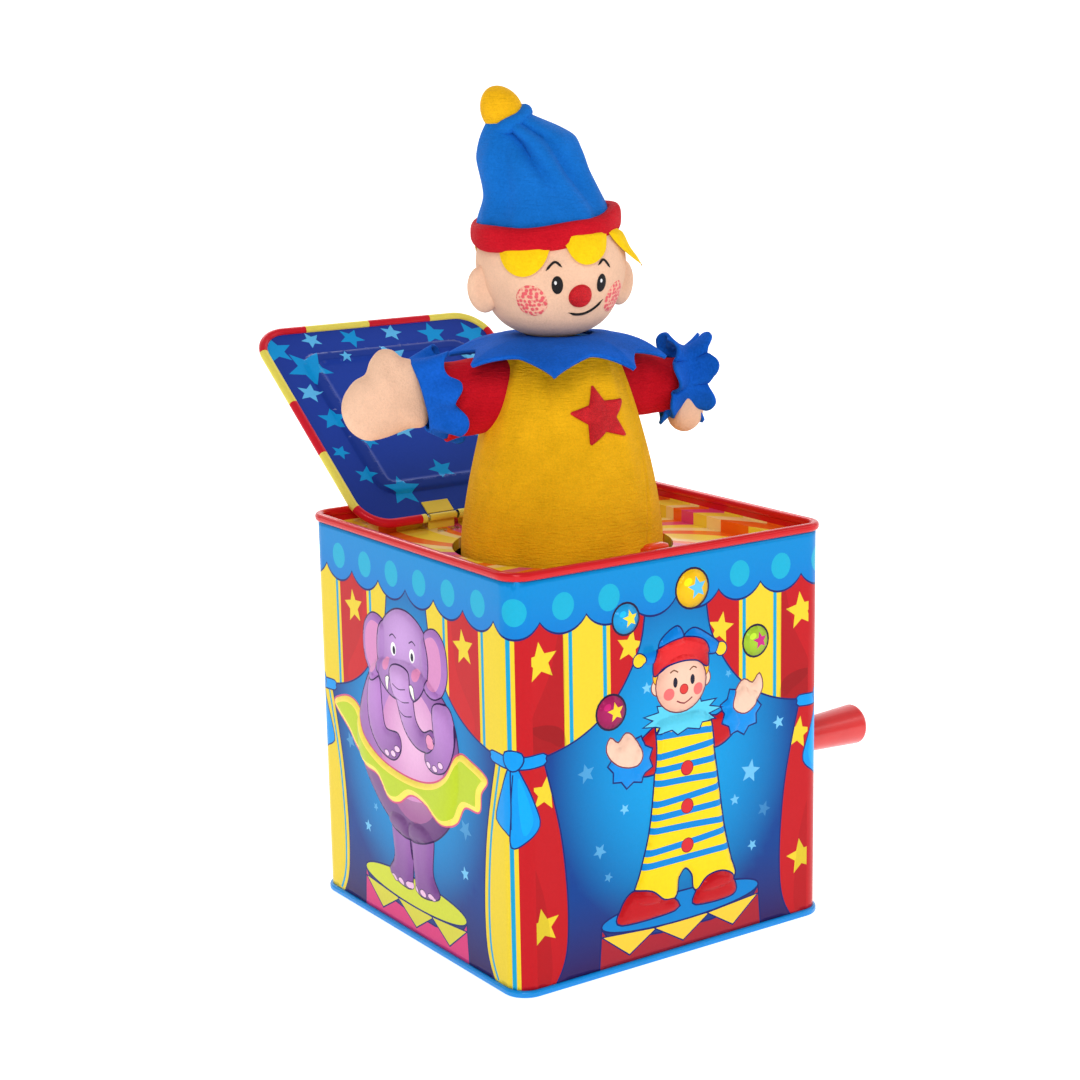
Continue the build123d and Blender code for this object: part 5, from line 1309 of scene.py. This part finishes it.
# ---------------------------------------------------------------------------------------------
# COLLAR. A ring of blue felt cut into eight pointed petals, which lies on the shoulders and droops at its tips.
PETALS = 8
FIRST_PETAL = math.radians(113.2)
t = np.linspace(0, 1, 26)[:, None]
a = np.linspace(0, 2 * np.pi, 320, endpoint=False)[None]
petal_wave = np.abs((((a - FIRST_PETAL) * PETALS / (2 * np.pi)) % 1) - 0.5) * 2
point_share = 0.75 * petal_wave**1.5 + 0.25 * petal_wave**6
edge_r = (33.6 + 9.6 * point_share + 1.2 * np.sin(a * 3 + 1.0)) * (1 - 0.1 * np.clip(np.cos(a), 0, 1))
collar_r = 12.5 + t * (edge_r - 12.5)
droop = 222.4 - 2.6 * t**2 - 7.0 * t**3.0 * (0.25 + 0.75 * point_share) * (0.8 + 0.25 * np.sin(a + 0.4)) + 0.7 * t**2 * np.sin(5 * a + 0.7)
collar_grid = on_doll(collar_r * np.cos(a), collar_r * np.sin(a), droop)
collar = woven("collar_petals", collar_grid, flip=False)
felt = collar.modifiers.new("felt", "SOLIDIFY")
felt.thickness, felt.offset = 1.5 * MM, 0.0
dress_up(collar, blue_felt, "clown", "blue_felt", "collar")

# ---------------------------------------------------------------------------------------------
# ARMS. Red velour sleeves end in ruffles of blue felt, with flat stuffed mittens of the head's fleece. Nothing
# stiffens them.
def sleeve_surface(way, u, angle):
    """A sleeve: an oval tube from the shoulder to the wrist, wider at the left wrist and narrower at the right, with
    soft wrinkles round it.
    """
    x = 17.0 + u * (46.5 - 17.0)
    spread = 1.0 if way < 0 else -0.7
    tall = 11.4 + 2.6 * spread * u + 0.45 * np.sin(9 * u + 2 * angle)
    deep = 7.0 + 1.4 * spread * u + 0.4 * np.sin(7 * u + 3 * angle + 1)
    middle = 203.4 - 3.0 * u
    return on_doll(way * (x + 0.8 * np.sin(angle) * u), deep * np.cos(angle), middle + tall * np.sin(angle))


def ruffle_surface(way, u, angle, waves, tall_end):
    """A cuff ruffle: an oval ring that widens from its seam at the hand to a free edge over the sleeve, and
    waves in and out and along the arm, more towards the free edge."""
    wave = np.sin(waves * angle + 0.8)
    tall = 13.0 + (tall_end - 13.0) * u**0.8 + 2.3 * u * wave
    deep = 7.6 + 5.8 * u**0.8 + 2.0 * u * wave
    if way > 0:
        flare = np.abs(2 * u - 1) ** 1.4
        lobe = np.abs(np.sin(0.5 * (waves * angle + 0.8 + 1.6 * u))) ** 0.55
        tall = 11.6 + 6.0 * flare * lobe
        deep = 7.4 + 6.6 * flare * lobe
    lean = 3.4 * np.sin(angle)
    x = 55.4 - 11.6 * u + lean + 2.1 * u * np.sin(waves * angle + 2.4)
    if way > 0:
        x = 57.8 - 15.4 * u + 0.3 * lean + 1.2 * (2 * u - 1) * np.sin(waves * angle + 2.4)
    return on_doll(way * x, deep * np.cos(angle), 203.2 + tall * np.sin(angle))


shoulder = 23.0
for way, name in ((-1, "left"), (1, "right")):
    u = np.linspace(0, 1, 46)[:, None]
    a = np.linspace(0, 2 * np.pi, 96, endpoint=False)[None]
    sleeve = woven(name + "_sleeve_cloth", sleeve_surface(way, u, a), flip=way < 0)
    lining = sleeve.modifiers.new("cloth", "SOLIDIFY")
    lining.thickness, lining.offset = 1.0 * MM, -1.0
    dress_up(sleeve, red_velour, "clown", "red_velour", name + "_sleeve")
    a = np.linspace(0, 2 * np.pi, 160, endpoint=False)[None]
    ruffle = woven(name + "_ruffle", ruffle_surface(way, np.linspace(0, 1, 20)[:, None], a, 7, 16.4), flip=way > 0)
    felt = ruffle.modifiers.new("felt", "SOLIDIFY")
    felt.thickness, felt.offset = 1.2 * MM, 0.0
    dress_up(ruffle, blue_felt, "clown", "blue_felt", name + "_cuff")
    if way < 0:
        outline = [(-52.5, 214), (-57, 216.6), (-61.5, 218), (-65, 220.8), (-69.5, 221), (-73, 217.4), (-75, 212.6), (-79.6, 210),
                   (-83.6, 204.6), (-84.4, 198.6), (-81.6, 192.2), (-76, 188.4), (-69, 188.8), (-60, 191.4), (-53, 192.6), (-51, 203)]
        middle = np.array([-68.0, 203.0])

        def soft_press(x, z, front):
            fold = -1.5 * np.exp(-(((x + 66.5 + 0.35 * (z - 212)) / 3.2) ** 2)) * np.clip((z - 203) / 10, 0, 1)
            hollow = -1.2 * np.exp(-(((x + 62) / 7) ** 2) - (((z - 200) / 5) ** 2))
            return (fold + hollow) * front
    else:
        outline = [(46.5, 206), (52, 207), (56.5, 202), (58.4, 193), (56.4, 185.4), (51.4, 182.2), (46, 184.4), (43.6, 191), (44, 200)]
        middle = np.array([51.0, 194.0])

        def soft_press(x, z, front):
            return -0.8 * np.exp(-(((x - 51) / 2.6) ** 2)) * np.clip((200 - z) / 10, 0, 1) * front

    x, front, z = pillow(curve_through(outline, True, 1.0), middle, 6.6, 40, 0.72, soft_press)
    mitten = woven(name + "_mitten", on_doll(x, front, z), flip=False)
    dress_up(mitten, fleece, "clown", "face_knit", name + "_hand")
    tuple(on_doll(way * shoulder, 0.0, 199.0) * MM)
    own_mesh(ruffle)
    tuple(on_doll(way * shoulder, 0.0, 199.0) * MM)
    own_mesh(sleeve)
    tuple(on_doll(way * shoulder, 0.0, 199.0) * MM)
    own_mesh(mitten)

# ---------------------------------------------------------------------------------------------
# STAGE. A plain pale floor that curves up behind, one large soft light from the left and above, a
# weaker one from the right, and a pale room all round.
def pale_room():
    """A pale world, and a floor swept up into a wall far behind the toy: flat, then a quarter circle, then
    upright. A little light of its own keeps its far parts as pale as the near ones, and the world looks white
    to the camera though it lights the toy less."""
    world = bpy.data.worlds.new("room")
    world.use_nodes = True
    world.node_tree.nodes["Background"].inputs["Color"].default_value = (1.0, 1.0, 1.0, 1)
    seen = world.node_tree.nodes.new("ShaderNodeLightPath").outputs["Is Camera Ray"]
    strength = world.node_tree.nodes.new("ShaderNodeMapRange")
    strength.inputs["To Min"].default_value, strength.inputs["To Max"].default_value = 0.46, 1.0
    world.node_tree.links.new(seen, strength.inputs["Value"])
    world.node_tree.links.new(strength.outputs["Result"], world.node_tree.nodes["Background"].inputs["Strength"])
    bpy.context.scene.world = world
    rise = np.linspace(0, math.pi / 2, 24)
    reach = np.concatenate([[-6000, 0, 1500], 2000 + 1500 * np.sin(rise), [3500]])
    height = np.concatenate([[0, 0, 0], 1500 * (1 - np.cos(rise)), [6000]])
    turn_back = math.radians(-34)
    across = np.array([[-6000.0], [6000.0]])
    x = across * math.cos(turn_back) - reach * math.sin(turn_back)
    y = across * math.sin(turn_back) + reach * math.cos(turn_back)
    sweep = np.stack([x, y, height + 0 * across], -1)
    floor = woven("floor", sweep, close_columns=False)
    material, _, surface = shader("pale_floor", Base_Color=(0.84, 0.84, 0.84, 1), Roughness=0.8)
    surface.inputs["Specular IOR Level"].default_value = 0.1
    surface.inputs["Emission Color"].default_value = (1, 1, 1, 1)
    surface.inputs["Emission Strength"].default_value = 0.7
    floor.data.materials.append(material)


def soft_light(name, place, target, size, power):
    """A square area light that looks at a point."""
    light = bpy.data.lights.new(name, "AREA")
    light.size = size
    light.energy = power
    lamp = bpy.data.objects.new(name, light)
    bpy.context.scene.collection.objects.link(lamp)
    lamp.location = place
    lamp.rotation_euler = (Vector(target) - Vector(place)).to_track_quat("-Z", "Y").to_euler()


pale_room()
soft_light("key", (-0.9, -1.2, 1.2), (0, 0, 0.12), 0.8, 12)
soft_light("fill", (1.3, -0.8, 0.7), (0, 0, 0.12), 0.9, 4)
soft_light("back", (0.4, 1.3, 1.2), (0, 0, 0.15), 0.8, 7)

# Camera: the view the toy is usually shown from, a little above it and to its left.
azimuth, elevation, roll = math.radians(-34.15), math.radians(12.27), math.radians(-1.08)
back = Vector((math.sin(azimuth) * math.cos(elevation), -math.cos(azimuth) * math.cos(elevation), math.sin(elevation)))
right = Vector((0, 0, 1)).cross(back).normalized()
up = back.cross(right)
level_right = right * math.cos(roll) + up * math.sin(roll)
level_up = up * math.cos(roll) - right * math.sin(roll)
camera_data = bpy.data.cameras.new("camera")
camera_data.sensor_width = 36.0
camera_data.lens = 73.232
camera_data.clip_start = 0.01
camera = bpy.data.objects.new("camera", camera_data)
bpy.context.scene.collection.objects.link(camera)
turn = Matrix((level_right, level_up, back)).transposed().to_4x4()
camera.matrix_world = Matrix.Translation((-0.46503, -0.67035, 0.32178)) @ turn
bpy.context.scene.camera = camera
bpy.context.scene.view_settings.view_transform = "Standard"
